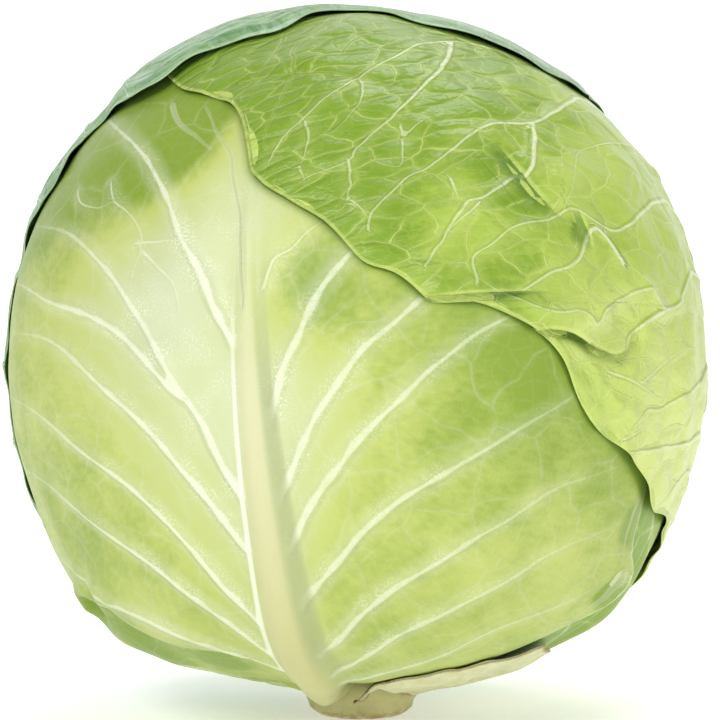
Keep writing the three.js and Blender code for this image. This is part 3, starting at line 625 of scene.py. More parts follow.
class Leaf:
    """A leaf's outline, midrib and veins, and how far it lifts what lies over it.

    Its description may change what a plain leaf has: drawn_out is where along the main veins they
    fade, bright their strength left and right, fold_place where the margin is folded and bluish,
    and pale the reach, the added width, the middle and the height of its pale middle. Patches are
    a longitude, a latitude, a spread and how much paler the leaf is there.
    """

    def __init__(self, description):
        self.blade = BLADE
        self.cells = BARE_LEAF_CELLS
        self.strip = False
        self.curling, self.puff = 1, 1
        self.curls, self.pleats, self.swells, self.patches = [], [], [], []
        self.side_veins, self.small_veins, self.furrows = [], [], []
        self.drawn_out = NEVER
        self.bright = (1, 1)
        self.fold_place = None
        self.pale = (9, 21, 14, 62)
        self.base_half_angle = BASE_HALF_ANGLE
        self.base_longitude = description["longitude"]
        self.__dict__.update(description)
        self.plane = LeafPlane(self.longitude)
        turns = self.base_longitude + np.linspace(-1, 1, BASE_POINTS) * self.base_half_angle
        base = self.plane.find(direction(turns, np.full(BASE_POINTS, BASE_LATITUDE)))
        drawn = self.plane.find(direction(*np.array(self.margin, float).T))
        curve = smooth_curve(np.vstack([base[-1:], drawn, base[:1]]))
        outline = np.vstack([base[:-1], curve[:-1]])
        self.outline = evenly(outline, MARGIN_STEP)
        self.cover_outline = evenly(outline, COVER_STEP)
        self.rim = np.vstack([self.outline, self.outline[:1]])
        self.base_line = evenly(base, 1, closed=False)
        self.tip_line = evenly(curve[::-1], 1, closed=False)
        self.base = self.plane.find(direction(self.base_longitude, BASE_LATITUDE))
        self.base[1] = self.plane.find(direction(self.longitude, BASE_LATITUDE))[1]

    def place(self, u, v):
        """Points of the drawing for places on a square that runs from -1 to 1 both ways.

        The square's rings become rings inside the margin, or, for a strip, its rows become rows
        from the base to the margin.
        """
        if self.strip:
            low, high = along(self.base_line, (u + 1) / 2), along(self.tip_line, (u + 1) / 2)
            return low + (v[:, None] + 1) / 2 * (high - low)
        wide = np.abs(u) > np.abs(v)
        reach = np.where(wide, u, v)
        safe = np.where(reach == 0, 1, reach)
        angle = np.where(wide, math.pi / 4 * v / safe, math.pi / 2 - math.pi / 4 * u / safe)
        turn = np.arctan2(reach * np.sin(angle), reach * np.cos(angle)) / (2 * math.pi)
        return np.abs(reach)[:, None] * along(self.rim, np.mod(turn, 1))

    def margin_place(self, rays, outline):
        """Distance in from the margin on the head, less than 0 outside, and the way along it."""
        corners = self.plane.rays(outline)
        points = self.plane.find(rays)
        closest = np.full(len(rays), np.inf)
        walked = np.zeros(len(rays))
        inside = np.zeros(len(rays), bool)
        for i in range(len(outline)):
            start, end = corners[i - 1], corners[i]
            edge = end - start
            share = np.clip(((rays - start) @ edge) / (edge @ edge), 0, 1)
            gap = rays - start - share[:, None] * edge
            square = np.einsum("ij,ij->i", gap, gap)
            walked = np.where(square < closest, i - 1 + share, walked)
            closest = np.minimum(closest, square)
            a, b = outline[i - 1], outline[i]
            spans = (a[1] > points[:, 1]) != (b[1] > points[:, 1])
            if a[1] != b[1]:
                crossing = (b[0] - a[0]) * (points[:, 1] - a[1]) / (b[1] - a[1]) + a[0]
                inside ^= spans & (points[:, 0] < crossing)
        depth = np.where(inside, 1, -1) * np.sqrt(closest) * HEAD_RADIUS
        return depth, walked * np.linalg.norm(outline[1] - outline[0])

    def depth(self, rays):
        """Distance in from the margin, on the head, and less than 0 outside the leaf."""
        return self.margin_place(rays, self.cover_outline)[0]

    def rib_share(self, y):
        """Share of the way up the midrib, from 0 at the stem to 1 where it has faded."""
        return np.clip((y - self.base[1]) / (self.rib["end"] - self.base[1]), 0, 1)

    def rib_x(self, y):
        """The midrib's middle: a bowed line from the leaf's base to its axis."""
        share = self.rib_share(y)
        bow = np.sin(math.pi * share ** RIB_FORM["bend_shift"])
        return self.base[0] * (1 - share) + self.rib["bend"] * bow

    def rib_half_width(self, y):
        """Half of the midrib's width, which narrows towards the crown."""
        narrowed = 1 - RIB_FORM["narrowing"] * self.rib_share(y)
        return self.rib["half_width"] * narrowed * LeafPlane.stretch(y)

    def rib_height(self, y):
        """Height of the midrib over the blade."""
        return self.rib["height"] * (1 - self.rib_share(y)) ** RIB_FORM["fall"]

    def lift(self, rays):
        """How far this leaf lifts the leaves over it: its blade, the air and the midrib."""
        loose = ease(latitude_of(rays), *STEM_END)

        def reach(ends, side):
            return ends["stem"][side] + (ends["blade"][side] - ends["stem"][side]) * loose

        cover = 1 - ease(-self.depth(rays), reach(COVER_REACH, 0), reach(COVER_REACH, 1))
        points = self.plane.find(rays)
        off_rib = np.abs(points[:, 0] - self.rib_x(points[:, 1])) - self.rib_half_width(points[:, 1])
        over_rib = 1 - ease(off_rib, reach(RIB_CLEARANCE, 0), reach(RIB_CLEARANCE, 1))
        return cover * (self.blade + AIR + over_rib * self.rib_height(points[:, 1]))

    def traced(self, line):
        """A smooth curve of the drawing through longitudes and latitudes."""
        return smooth_curve(self.plane.find(direction(*np.array(line, float).T)), TRACE_STEPS)

    def vein_line(self, description, points):
        """Where points lie beside a vein: the way out along it, their distance off it, and the
        way out from where it starts.

        The vein's height on the drawing is its start plus its rise times one less e to the power
        of minus the way out over its reach, with a slow sway.
        """
        side, start = description["side"], description["start"]
        out = side * (points[:, 0] - self.rib_x(start)) - self.rib_half_width(start)
        past = np.maximum(out - description["origin"], 0)
        fall = np.exp(-past / description["reach"])
        swing = VEIN_SWAY["height"] * np.sin(past / VEIN_SWAY["length"] + start)
        sway = swing * ease(past, *VEIN_SWAY["grown"])
        line = start + description["rise"] * (1 - fall) + sway
        slope = description["rise"] / description["reach"] * fall
        off = (points[:, 1] - line) / np.sqrt(1 + slope**2)
        return past, off, out - description["origin"]

    def swollen(self, points):
        """How far the leaf's swells and hollows raise both its faces."""
        raised = np.zeros(len(points))
        for swell in self.swells:
            off, _, _ = beside(points, self.traced(swell["line"]), 3 * swell["spread"])
            raised += swell["height"] * bell(off / swell["spread"])
        return raised

    def pleated(self, points, snap=0.0):
        """Points slid by the leaf's pleats, how far they rise, where the pleats are and their edge.

        The sheet on a pleat's left slides over the sheet on its right, by the overhang times e to
        the power of minus the distance over the pleat's reach. Points within snap of the pleat's
        line are put on it first, so that the edge of the upper sheet is clean.
        """
        raised = np.zeros(len(points))
        crease = np.tile(NO_VEIN, (len(points), 1))
        on_edge = np.zeros(len(points), bool)
        for pleat in self.pleats:
            off, share, left = beside(points, self.traced(pleat["line"]), 3 * PLEAT["reach"])
            grown = ease(share, 0, pleat["ends"][0]) * ease(1 - share, 0, pleat["ends"][1])
            edge = (np.abs(off) <= snap) & (grown > FAINT)
            step = np.where(edge, off, 0)
            off = np.where(edge, 0, off)
            upper = grown * np.where(off >= 0, np.exp(-np.abs(off) / PLEAT["reach"]), 0)
            points = points - (step + upper * pleat["overhang"])[:, None] * left
            rounded = 1 - PLEAT["rounding"] * np.exp(-np.abs(off) / PLEAT["lip"])
            raised += upper * pleat["raise"] * rounded
            hollow = bell((off + PLEAT_HOLLOW["place"]) / PLEAT_HOLLOW["spread"])
            raised -= PLEAT_HOLLOW["depth"] * grown * np.where(off < 0, hollow, 0)
            closer = np.abs(off) < np.abs(crease[:, 0])
            here = np.stack([off, np.abs(off), grown * pleat["shade"]], axis=-1)
            crease = np.where(closer[:, None], here, crease)
            on_edge |= edge
        return points, raised, crease, on_edge


WRAPPERS = [Leaf(description) for description in LEAVES]


def inner_radius(layer, rays):
    """Radius of a leaf's inner face: the heart, plus every leaf that lies between."""
    radius = heart_radius(rays) + HEART_RELIEF["height"] + AIR
    for under in WRAPPERS[:layer]:
        radius = radius + under.lift(rays)
    return radius


def bareness(layer, rays):
    """How bare places on a leaf are: 1 where no other leaf lies over them."""
    bare = np.ones(len(rays))
    for over in WRAPPERS[layer + 1 :]:
        bare = bare * ease(-over.depth(rays), *BARE_FROM)
    return bare


def curl_height(leaf, rays, depth, bare):
    """How far a bare margin stands off the head, in waves along the margin and at its curls."""
    inside = np.maximum(depth, 0)
    edge = np.exp(-inside / MARGIN_CURL["spread"])
    bearing = np.arctan2(rays @ leaf.plane.right, rays @ leaf.plane.up)
    wave = np.sin(MARGIN_CURL["waves"] * bearing) * np.cos(MARGIN_CURL["swells"] * bearing + 1)
    height = MARGIN_CURL["height"] * (1 + wave)
    for curl in leaf.curls:
        apart = np.linalg.norm(rays - direction(curl["longitude"], curl["latitude"]), axis=1)
        height = height + curl["height"] * bell(HEAD_RADIUS * apart / curl["spread"])
    risen = ease(latitude_of(rays) - BASE_LATITUDE, *MARGIN_CURL["low"])
    return leaf.curling * height * edge * risen * bare


def fading(past, far, more, reach):
    """The value far, plus more times e to the power of minus past over reach."""
    return far + more * np.exp(-past / reach)


class LeafSkin:
    """What the veins do to a leaf's outer face: relief in millimetres and marks for its colours.

    The relief is the midrib's section, plus the veins' ridges and soft blisters where the midrib
    isn't, plus broad swells and the folds beside the margin, and it sinks no deeper than DEEPEST.
    """

    def __init__(self, leaf, layer, points, rays, depth, walked, sizes):
        self.leaf = leaf
        self.points = points
        self.rays = rays
        self.bare = bareness(layer, rays)
        self.tall = sizes.vein_height * 1000
        self.ridges = np.zeros(len(points))
        self.veins = {kind: np.tile(NO_VEIN, (len(points), 1)) for kind in ("main", *TRACED)}
        self.wander = {
            kind: amount * waves(points, length, seed, 5)
            for kind, (amount, length, seed) in WANDER.items()
        }
        for description in leaf.veins:
            self.add_main_vein(description)
        for kind, form in TRACED.items():
            for line in getattr(leaf, form["lines"]):
                self.add_traced_vein(kind, form, line)

        height = points[:, 1]
        across = (points[:, 0] - leaf.rib_x(height)) / leaf.rib_half_width(height)
        fade = ease(leaf.rib["end"] - height, *RIB_FADE)
        calm = 1 - np.exp(-((across / RIB_SECTION["calm"]) ** 4)) * fade
        show = COVERED_VEIN + (1 - COVERED_VEIN) * self.bare
        blister = sizes.puff * 1000 * leaf.puff * self.swell(BLISTER, layer, depth)
        broad = BROAD_SWELL["height"] * self.swell(BROAD_SWELL, layer, depth)
        self.relief = self.rib_relief(height, across)
        self.relief = self.relief + show * ((self.ridges + blister) * calm + broad)
        bloom = self.bloom()
        self.relief += self.margin_folds(depth, walked) * bloom * show
        sunk = DEEPEST * (1 - np.exp(np.minimum(self.relief, 0) / DEEPEST))
        self.relief = np.where(self.relief < 0, -sunk, self.relief)

        beyond = NO_VEIN[0]
        # How far places are from the margins of the leaves over this one; the finish paints shade
        # there.
        cover = np.full(len(points), FAR)
        for over in WRAPPERS[layer + 1 :]:
            cover = np.minimum(cover, np.maximum(-over.depth(rays), 0))
        self.marks = {
            **self.veins,
            "rib": np.stack(
                [np.clip(across, -beyond, beyond), fade, leaf.rib_share(height)], axis=-1
            ),
            "depth": depth,
            "along": walked,
            "pale": self.paleness(height, across),
            "cover": cover,
            "bloom": bloom,
        }

    def add_vein(self, kind, off, half_width, strength):
        """Marks a vein where it is nearer than the others of its kind: the distance off it in
        half-widths, more than 0 on its left, that distance in millimetres, and its strength.
        """
        marks = self.veins[kind]
        off = np.clip(off, -FAR, FAR)
        strength = np.broadcast_to(strength, off.shape)
        nearer = (np.abs(off) < marks[:, 1]) & (strength > FAINT)
        here = np.stack([off / half_width, np.abs(off), strength], axis=-1)
        self.veins[kind] = np.where(nearer[:, None], here, marks)

    def add_main_vein(self, description):
        """Marks and raises a vein that springs from the midrib and thins on its way out."""
        past, off, out = self.leaf.vein_line(description, self.points)
        off = off + self.wander["main"]
        shown = ease(out, *MAIN_VEIN["starts"]) * (1 - ease(past, *self.leaf.drawn_out))
        half_width = fading(past, *MAIN_VEIN["half_width"]) * (1 + self.wander["width"])
        bright = self.leaf.bright[description["side"] > 0]
        strength = bright * shown * fading(past, *MAIN_VEIN["strength"])
        self.add_vein("main", off, half_width, strength)
        crest = self.tall * fading(past, *MAIN_VEIN["height"]) * shown
        self.ridges = np.maximum(self.ridges, crest * bell(off / MAIN_VEIN["spread"]))
        around = shown * bell(off / VEIN_SWELL["spread"])
        self.ridges += VEIN_SWELL["height"] * around * np.exp(-past / VEIN_SWELL["reach"])

    def add_traced_vein(self, kind, form, line):
        """Marks a vein or a furrow along a traced line, with a shallow hollow on both its sides."""
        off, part, _ = beside(self.points, self.leaf.traced(line), TRACED_VEIN["reach"])
        off = off + self.wander["traced"]
        thinning = TRACED_VEIN["thinning"]
        slim = 1 - thinning + thinning * np.cos(math.pi * part)
        self.add_vein(kind, off, form["half_width"] * slim, slim)
        crest = self.tall * form["height"] * slim * bell(off / TRACED_VEIN["spread"])
        rises = form["height"] > 0
        self.ridges = np.maximum(self.ridges, crest) if rises else self.ridges + crest
        hollow = bell((np.abs(off) - TRACED_HOLLOW["place"]) / TRACED_HOLLOW["spread"])
        self.ridges -= TRACED_HOLLOW["depth"] * self.tall * abs(form["height"]) * hollow

    def rib_relief(self, height, across):
        """The midrib's section: a rounded ridge, with a shallow groove along its right side."""
        tall = self.leaf.rib_height(height)
        slim = 1 + RIB_SECTION["slimming"] * self.leaf.rib_share(height) ** 2
        off = np.abs(across) * slim / RIB_SECTION["half_width"]
        groove = bell((across - RIB_GROOVE["place"]) / RIB_GROOVE["spread"])
        ridge = tall * np.exp(-(off ** RIB_SECTION["steepness"]))
        return ridge - RIB_GROOVE["depth"] * tall * groove

    def swell(self, form, layer, depth):
        """Soft noise over the blade, which dies out towards the margin."""
        noise = waves(self.rays * HEAD_RADIUS, form["length"], form["seed"] + layer)
        return noise * ease(depth, *form["grown"])

    def bloom(self):
        """How near places are to where the margin is folded and has its bluish bloom."""
        if self.leaf.fold_place is None:
            return np.zeros(len(self.rays))
        apart = np.linalg.norm(self.rays - direction(*self.leaf.fold_place), axis=1)
        return bell(apart * HEAD_RADIUS / BLOOM_SPREAD)

    @staticmethod
    def margin_folds(depth, walked):
        """Sharp folds that run beside the margin: a power of the sine of the wandering depth."""
        swings = [amount * np.sin(walked / length + turn) for amount, length, turn in FOLD_WANDER]
        wander = sum(swings)
        wave = np.abs(np.sin((depth + wander) * math.pi / FOLD["length"]))
        fold = FOLD["height"] * (wave ** FOLD["sharpness"] - FOLD["mean"])
        return fold * ease(depth, *FOLD["grown"]) * bell(depth / FOLD["spread"])

    def paleness(self, height, across):
        """How pale the blade is: most beside the midrib and in its middle, and more on its left.

        Its patches then add their amounts, each in a bell curve about its place on the head.
        """
        near, wide, middle, tall = self.leaf.pale
        reach = across * self.leaf.rib_half_width(height)
        spread = near + wide * bell((height - middle) / PALE_SPREAD["height"])
        lean = np.tanh(reach / PALE_SPREAD["lean_reach"])
        spread = spread * (PALE_SPREAD["even"] - PALE_SPREAD["lean"] * lean)
        fall = np.exp(-((np.abs(reach) / spread) ** PALE_SPREAD["steepness"]))
        least = PALE_HEIGHT["least"]
        pale = fall * (least + (1 - least) * bell((height - middle + PALE_HEIGHT["drop"]) / tall))
        for longitude, latitude, spread, amount in self.leaf.patches:
            apart = np.linalg.norm(self.rays - direction(longitude, latitude), axis=1) * HEAD_RADIUS
            pale = pale + amount * bell(apart / spread)
        return pale


def square_grid(cells):
    """Places on a square grid from -1 to 1, row by row."""
    side = np.linspace(-1, 1, cells + 1)
    return tuple(grid.ravel() for grid in np.meshgrid(side, side))


def grid_quads(cells):
    """Quads of the square grid, wound outwards."""
    index = np.arange((cells + 1) ** 2).reshape(cells + 1, cells + 1)
    low, high = index[:-1], index[1:]
    return np.stack([low[:, :-1], low[:, 1:], high[:, 1:], high[:, :-1]], axis=-1).reshape(-1, 4)


def grid_border(cells):
    """Indices of the square grid's border, in the order of its turn from the lower left."""
    index = np.arange((cells + 1) ** 2).reshape(cells + 1, cells + 1)
    return np.concatenate([index[0, :-1], index[:-1, -1], index[-1, :0:-1], index[:0:-1, 0]])


def ring_quads(first, second, turned=False):
    """Quads between two closed rings of indices."""
    quads = np.stack([first, np.roll(first, -1), np.roll(second, -1), second], axis=-1)
    return quads[:, ::-1] if turned else quads


def fan(point, ring):
    """Triangles from one point to a closed ring of indices."""
    return np.stack([np.full(len(ring), point), np.roll(ring, -1), ring], axis=-1)


def make_piece(name, points, quads, triangles=(), marks=None, drawing=None):
    """A smooth mesh object from points in millimetres, with float marks and a drawing as its UV."""
    faces = [np.asarray(quads, np.int32).reshape(-1, 4)]
    faces.append(np.asarray(triangles, np.int32).reshape(-1, 3))
    corners = np.concatenate([part.ravel() for part in faces])
    sizes = np.concatenate([np.full(len(part), part.shape[1], np.int32) for part in faces])
    mesh = bpy.data.meshes.new(name)
    mesh.vertices.add(len(points))
    mesh.vertices.foreach_set("co", (points / 1000).astype(np.float32).ravel())
    mesh.loops.add(len(corners))
    mesh.loops.foreach_set("vertex_index", corners)
    mesh.polygons.add(len(sizes))
    mesh.polygons.foreach_set("loop_start", np.concatenate([[0], np.cumsum(sizes)[:-1]]))
    mesh.polygons.foreach_set("use_smooth", np.ones(len(sizes), bool))
    mesh.update(calc_edges=True)
    if drawing is not None:
        layer = mesh.uv_layers.new(name="leaf")
        layer.data.foreach_set("uv", (drawing[corners] / 1000).astype(np.float32).ravel())
    for mark, values in (marks or {}).items():
        kind, field = ("FLOAT", "value") if values.ndim == 1 else ("FLOAT_VECTOR", "vector")
        attribute = mesh.attributes.new(mark, kind, "POINT")
        attribute.data.foreach_set(field, values.astype(np.float32).ravel())
    if mesh.validate():
        raise RuntimeError(f"{name}: the mesh had faulty faces")
    piece = bpy.data.objects.new(name, mesh)
    bpy.context.collection.objects.link(piece)
    return piece


def split_quads(quads, on_edge):
    """Splits the quads that a pleat's edge crosses from corner to corner, along that edge."""
    held = on_edge[quads]
    first = held[:, 0] & held[:, 2]
    second = held[:, 1] & held[:, 3] & ~first
    halves = [quads[first][:, [0, 1, 2]], quads[first][:, [0, 2, 3]]]
    halves += [quads[second][:, [1, 2, 3]], quads[second][:, [1, 3, 0]]]
    return quads[~first & ~second], np.vstack(halves)


def inner_face(leaf, layer, u, v):
    """Rings of a leaf's inner face, from its margin to its middle, and their drawings.

    A place's height over the head's centre is the inner radius plus the curl, the swells and,
    near the margin, the pleats.
    """
    sheets, drawings = [], []
    for share in INNER_RINGS:
        ring = leaf.place(share * u, share * v)
        near = ease(share, *PLEATED_RINGS)
        slid, lifted, _, _ = leaf.pleated(ring)
        rays = leaf.plane.rays(ring + near * (slid - ring))
        bare = bareness(layer, rays)
        radius = inner_radius(layer, rays) + near * lifted + leaf.swollen(ring) * bare
        radius += curl_height(leaf, rays, np.abs(leaf.depth(rays)), bare)
        sheets.append(HEAD_CENTRE + radius[:, None] * rays)
        drawings.append(ring)
    middle = leaf.place(np.zeros(1), np.zeros(1))
    ray = leaf.plane.rays(middle)
    sheets.append(HEAD_CENTRE + inner_radius(layer, ray)[:, None] * ray)
    drawings.append(middle)
    return sheets, drawings


def spread_marks(marks, border, total):
    """Marks of the whole sheet: as given on the outer face and the rim, and plain inside."""
    count, size = len(marks["depth"]), len(border)
    spread = {}
    for name, values in marks.items():
        filled = np.empty((total, *values.shape[1:]))
        filled[:] = NO_VEIN if values.ndim > 1 else values.mean()
        if name == "pale":
            filled[:] = INNER_PALE
        filled[:count] = values
        for start in (count, count + size):
            filled[start : start + size] = values[border]
        spread[name] = filled
    return spread


def leaf_piece(leaf, layer, sizes):
    """A closed leaf sheet: a fine outer face with veins, a rounded rim and a plain inner face.

    A place's height over the head's centre is the inner radius, plus the curl and the pleats,
    plus the blade and the relief.
    """
    u, v = square_grid(leaf.cells)
    drawn = leaf.place(u, v)
    depth, walked = leaf.margin_place(leaf.plane.rays(drawn), leaf.outline)
    depth = np.abs(depth)
    snap = 0.5 * math.sqrt(np.ptp(leaf.outline[:, 0]) * np.ptp(leaf.outline[:, 1])) / leaf.cells
    points, raised, crease, on_edge = leaf.pleated(drawn, snap)
    rays = leaf.plane.rays(points)
    skin = LeafSkin(leaf, layer, drawn, rays, depth, walked, sizes)
    under = inner_radius(layer, rays) + curl_height(leaf, rays, depth, skin.bare)
    under += raised + leaf.swollen(drawn) * skin.bare
    ripple = leaf.curling * RIPPLE["height"] * np.exp(-depth / RIPPLE["spread"])
    ripple = ripple * waves(rays * HEAD_RADIUS, RIPPLE["length"], RIPPLE["seed"] + layer)
    under += skin.bare * (ripple - TUCK["height"] * np.exp(-depth / TUCK["spread"]))
    full = ease(depth, 0, THIN_MARGIN["width"])
    thickness = leaf.blade * (THIN_MARGIN["share"] + (1 - THIN_MARGIN["share"]) * full)
    outer = HEAD_CENTRE + (under + thickness + skin.relief)[:, None] * rays

    border = grid_border(leaf.cells)
    rim_rays = leaf.plane.rays(points[border] * RIM_OUT)
    middle_radius = under[border] + 0.5 * (thickness + skin.relief)[border]
    rim = HEAD_CENTRE + middle_radius[:, None] * rim_rays
    inner_rim = HEAD_CENTRE + under[border][:, None] * rays[border]
    inner_sheets, inner_drawings = inner_face(leaf, layer, u[border], v[border])
    places = np.vstack([outer, rim, inner_rim, *inner_sheets])
    drawings = np.vstack([drawn, drawn[border], drawn[border], *inner_drawings])

    count, size = len(drawn), len(border)
    ring_count = len(INNER_RINGS) + 2
    rings = [border] + [count + i * size + np.arange(size) for i in range(ring_count)]
    face, halves = split_quads(grid_quads(leaf.cells), on_edge)
    quads = [face] + [ring_quads(one, two, turned=True) for one, two in zip(rings, rings[1:])]
    triangles = np.vstack([halves, fan(len(places) - 1, rings[-1])])
    marks = spread_marks({"crease": crease, **skin.marks}, border, len(places))
    return make_piece(leaf.name, places, np.vstack(quads), triangles, marks, drawings)


def turned_piece(name, start, rings, end, columns, inwards=False):
    """A closed piece whose rings of points, one after the other, run from a start to an end."""
    points = np.vstack([start, rings, end])
    rows = [1 + i * columns + np.arange(columns) for i in range(len(rings) // columns)]
    quads = [ring_quads(one, two, turned=inwards) for one, two in zip(rows, rows[1:])]
    caps = np.vstack([fan(0, rows[0]), fan(len(points) - 1, rows[-1])[:, ::-1]])
    return make_piece(name, points, np.vstack(quads), caps[:, ::-1] if inwards else caps)


def heart_piece():
    """The heart: a ball whose radius holds the edges of its leaves, with a socket for the core."""
    latitude = np.linspace(90, BASE_LATITUDE, HEART_ROWS)[1:, None]
    turn = np.linspace(0, 360, HEART_COLUMNS, endpoint=False)[None, :]
    rays = direction(turn + 0 * latitude, latitude + 0 * turn).reshape(-1, 3)
    spin = np.arctan2(rays[:, 0], -rays[:, 1]) / (2 * math.pi)
    climb = latitude_of(rays) / 90
    saw = np.mod(HEART_RELIEF["leaves"] * (spin + HEART_RELIEF["turn"] * 0.5 * climb), 1)
    calm = ease(1 - np.abs(climb), 0, HEART_RELIEF["pole"])
    relief = HEART_RELIEF["height"] * calm * saw * ease(1 - saw, 0, HEART_RELIEF["edge"])
    ball = HEAD_CENTRE + (heart_radius(rays) + relief)[:, None] * rays
    top = [0, 0, HEAD_CENTRE[2] + heart_radius(np.array([[0, 0, 1.0]]))[0]]
    around = np.radians(turn.ravel())
    walls = [ball]
    for radius, height in CORE_SOCKET:
        wall = [radius * np.sin(around), -radius * np.cos(around), 0 * around + height]
        walls.append(np.stack(wall, axis=-1))
    end = [0, 0, SOCKET_END]
    return turned_piece("heart", top, np.vstack(walls), end, HEART_COLUMNS, inwards=True)


def stem_piece():
    """The stem: a turned profile whose sides have leaf scars and whose cut face is rough.

    The scars narrow the radius by the sine of the turn times their count, twisted by the height.
    """
    radius, height = np.array(STEM_PROFILE).T[:, :, None]
    around = np.linspace(0, 2 * math.pi, STEM_COLUMNS, endpoint=False)
    wave = 1 + np.sin(STEM_SCARS["count"] * around + height * STEM_SCARS["twist"])
    scars = STEM_SCARS["depth"] * wave * (height > STEM_SCARS["above"])
    on_cut = (radius < CUT_FACE["radius"]) & (height < CUT_FACE["below"])
    radius = radius * (1 - scars)
    height = height + 0 * around
    flat = np.stack([radius * np.sin(around), -radius * np.cos(around)], axis=-1)
    rough = CUT_FACE["roughness"] * waves(flat.reshape(-1, 2), CUT_FACE["length"], CUT_FACE["seed"])
    height = height + np.where(on_cut, np.abs(rough.reshape(height.shape)), 0)
    rings = np.concatenate([flat, height[..., None]], axis=-1).reshape(-1, 3)
    start, end = ([0, 0, level] for level in STEM_ENDS)
    return turned_piece("stem", start, rings, end, STEM_COLUMNS)


class Value:
    """A number on its way through the shader. Arithmetic on it adds Math nodes."""

    def __init__(self, finish, socket):
        self.finish = finish
        self.socket = socket

    def _math(self, operation, first, second=0.0):
        return self.finish.node("ShaderNodeMath", {"operation": operation}, {0: first, 1: second})

    def __add__(self, other):
        return self._math("ADD", self, other)

    def __radd__(self, other):
        return self._math("ADD", other, self)

    def __sub__(self, other):
        return self._math("SUBTRACT", self, other)

    def __rsub__(self, other):
        return self._math("SUBTRACT", other, self)

    def __mul__(self, other):
        return self._math("MULTIPLY", self, other)

    def __rmul__(self, other):
        return self._math("MULTIPLY", other, self)

    def step(self, low, high):
        """0 below low and 1 above high, smooth between them."""
        settings = {"interpolation_type": "SMOOTHSTEP", "clamp": True}
        limits = {"Value": self, "From Min": low, "From Max": high, "To Min": 0.0, "To Max": 1.0}
        return self.finish.node("ShaderNodeMapRange", settings, limits)


class Finish:
    """A material, and the one method that adds its nodes."""

    def __init__(self, name):
        self.material = bpy.data.materials.new(name)
        self.material.use_nodes = True
        self.tree = self.material.node_tree
        self.tree.nodes.clear()

    def node(self, kind, settings=None, inputs=None, output=0):
        """Adds a node: settings first, then the values or links of its sockets."""
        node = self.tree.nodes.new(kind)
        for key, value in (settings or {}).items():
            setattr(node, key, value)
        for key, value in (inputs or {}).items():
            socket = node.inputs[key]
            if isinstance(value, Value):
                self.tree.links.new(value.socket, socket)
            else:
                socket.default_value = value
        return Value(self, node.outputs[output])

    def mark(self, name):
        """A float mark of the mesh."""
        return self.node("ShaderNodeAttribute", {"attribute_name": name}, output="Fac")

    def parts(self, vector):
        """The three numbers of a vector."""
        return [self.node("ShaderNodeSeparateXYZ", {}, {"Vector": vector}, axis) for axis in "XYZ"]

    def marks(self, name):
        """The three numbers of a vector mark of the mesh."""
        return self.parts(self.node("ShaderNodeAttribute", {"attribute_name": name}, output="Vector"))

    def warp(self, vector, scale, amount):
        """A place pushed about by noise."""
        inputs = {"Vector": vector, "Scale": scale, "Detail": 2.0}
        push = self.node("ShaderNodeTexNoise", {}, inputs, "Color")
        inputs = {0: push, 1: (0.5, 0.5, 0.5)}
        push = self.node("ShaderNodeVectorMath", {"operation": "SUBTRACT"}, inputs)
        inputs = {0: push, 1: (amount, amount, 0.0), 2: vector}
        return self.node("ShaderNodeVectorMath", {"operation": "MULTIPLY_ADD"}, inputs)

    def join(self, x, y):
        """A place from two numbers."""
        return self.node("ShaderNodeCombineXYZ", {}, {"X": x, "Y": y})

    def drawing(self, scale):
        """The leaf's own drawing, scaled."""
        flat = self.node("ShaderNodeUVMap", {"uv_map": "leaf"})
        return self.node("ShaderNodeMapping", {}, {"Vector": flat, "Scale": (scale, scale, scale)})

    def place(self, scale):
        """The place on the object, scaled."""
        where = self.node("ShaderNodeTexCoord", output="Object")
        return self.node("ShaderNodeMapping", {}, {"Vector": where, "Scale": (scale, scale, scale)})

    def noise(self, vector, scale, detail=3.0, roughness=0.5):
        """Noise from 0 to 1."""
        inputs = {"Vector": vector, "Scale": scale, "Detail": detail, "Roughness": roughness}
        return self.node("ShaderNodeTexNoise", {}, inputs)

    def edges(self, vector, scale):
        """Distance to the edges of random cells."""
        settings = {"feature": "DISTANCE_TO_EDGE", "voronoi_dimensions": "2D"}
        inputs = {"Vector": vector, "Scale": scale}
        return self.node("ShaderNodeTexVoronoi", settings, inputs, "Distance")

    def mix(self, share, first, second):
        """A blend of two colours."""
        settings = {"data_type": "RGBA"}
        return self.node("ShaderNodeMix", settings, {0: share, 6: first, 7: second}, output=2)

    def finish(self, colour, roughness, relief, constants):
        """Ends the material in one Principled shader. The relief is in millimetres."""
        inputs = {"Strength": 1.0, "Distance": 0.001, "Height": relief}
        normal = self.node("ShaderNodeBump", {}, inputs)
        inputs = {"Base Color": colour, "Roughness": roughness, "Normal": normal, **constants}
        shader = self.node("ShaderNodeBsdfPrincipled", {}, inputs)
        output = self.tree.nodes.new("ShaderNodeOutputMaterial")
        self.tree.links.new(shader.socket, output.inputs["Surface"])
        return self.material


def paint(colour):
    """A property's colour with full opacity."""
    return (*colour[:3], 1.0)


def blend(first, second, share):
    """A colour between two."""
    return tuple(a + (b - a) * share for a, b in zip(first, second))


WAX = {
    "Specular IOR Level": 0.28,
    "Sheen Weight": 0.02,
    "Sheen Roughness": 0.45,
    "Sheen Tint": (0.86, 0.96, 1.0, 1.0),
    "Coat Weight": 0.12,
    "Coat Roughness": 0.35,
}
POWDER = (0.84, 0.87, 0.72, 1.0)
RIB_WHITE = (0.86, 0.88, 0.74, 1.0)

# Kinds of vein, with the strength of the pale halo about them and of the vein itself
VEIN_PAINT = (("main", 0.55, 1.0), ("side", 0.35, 1.0), ("small", 0.22, 0.6))
VEIN_BAND = (2.6, 1.6)


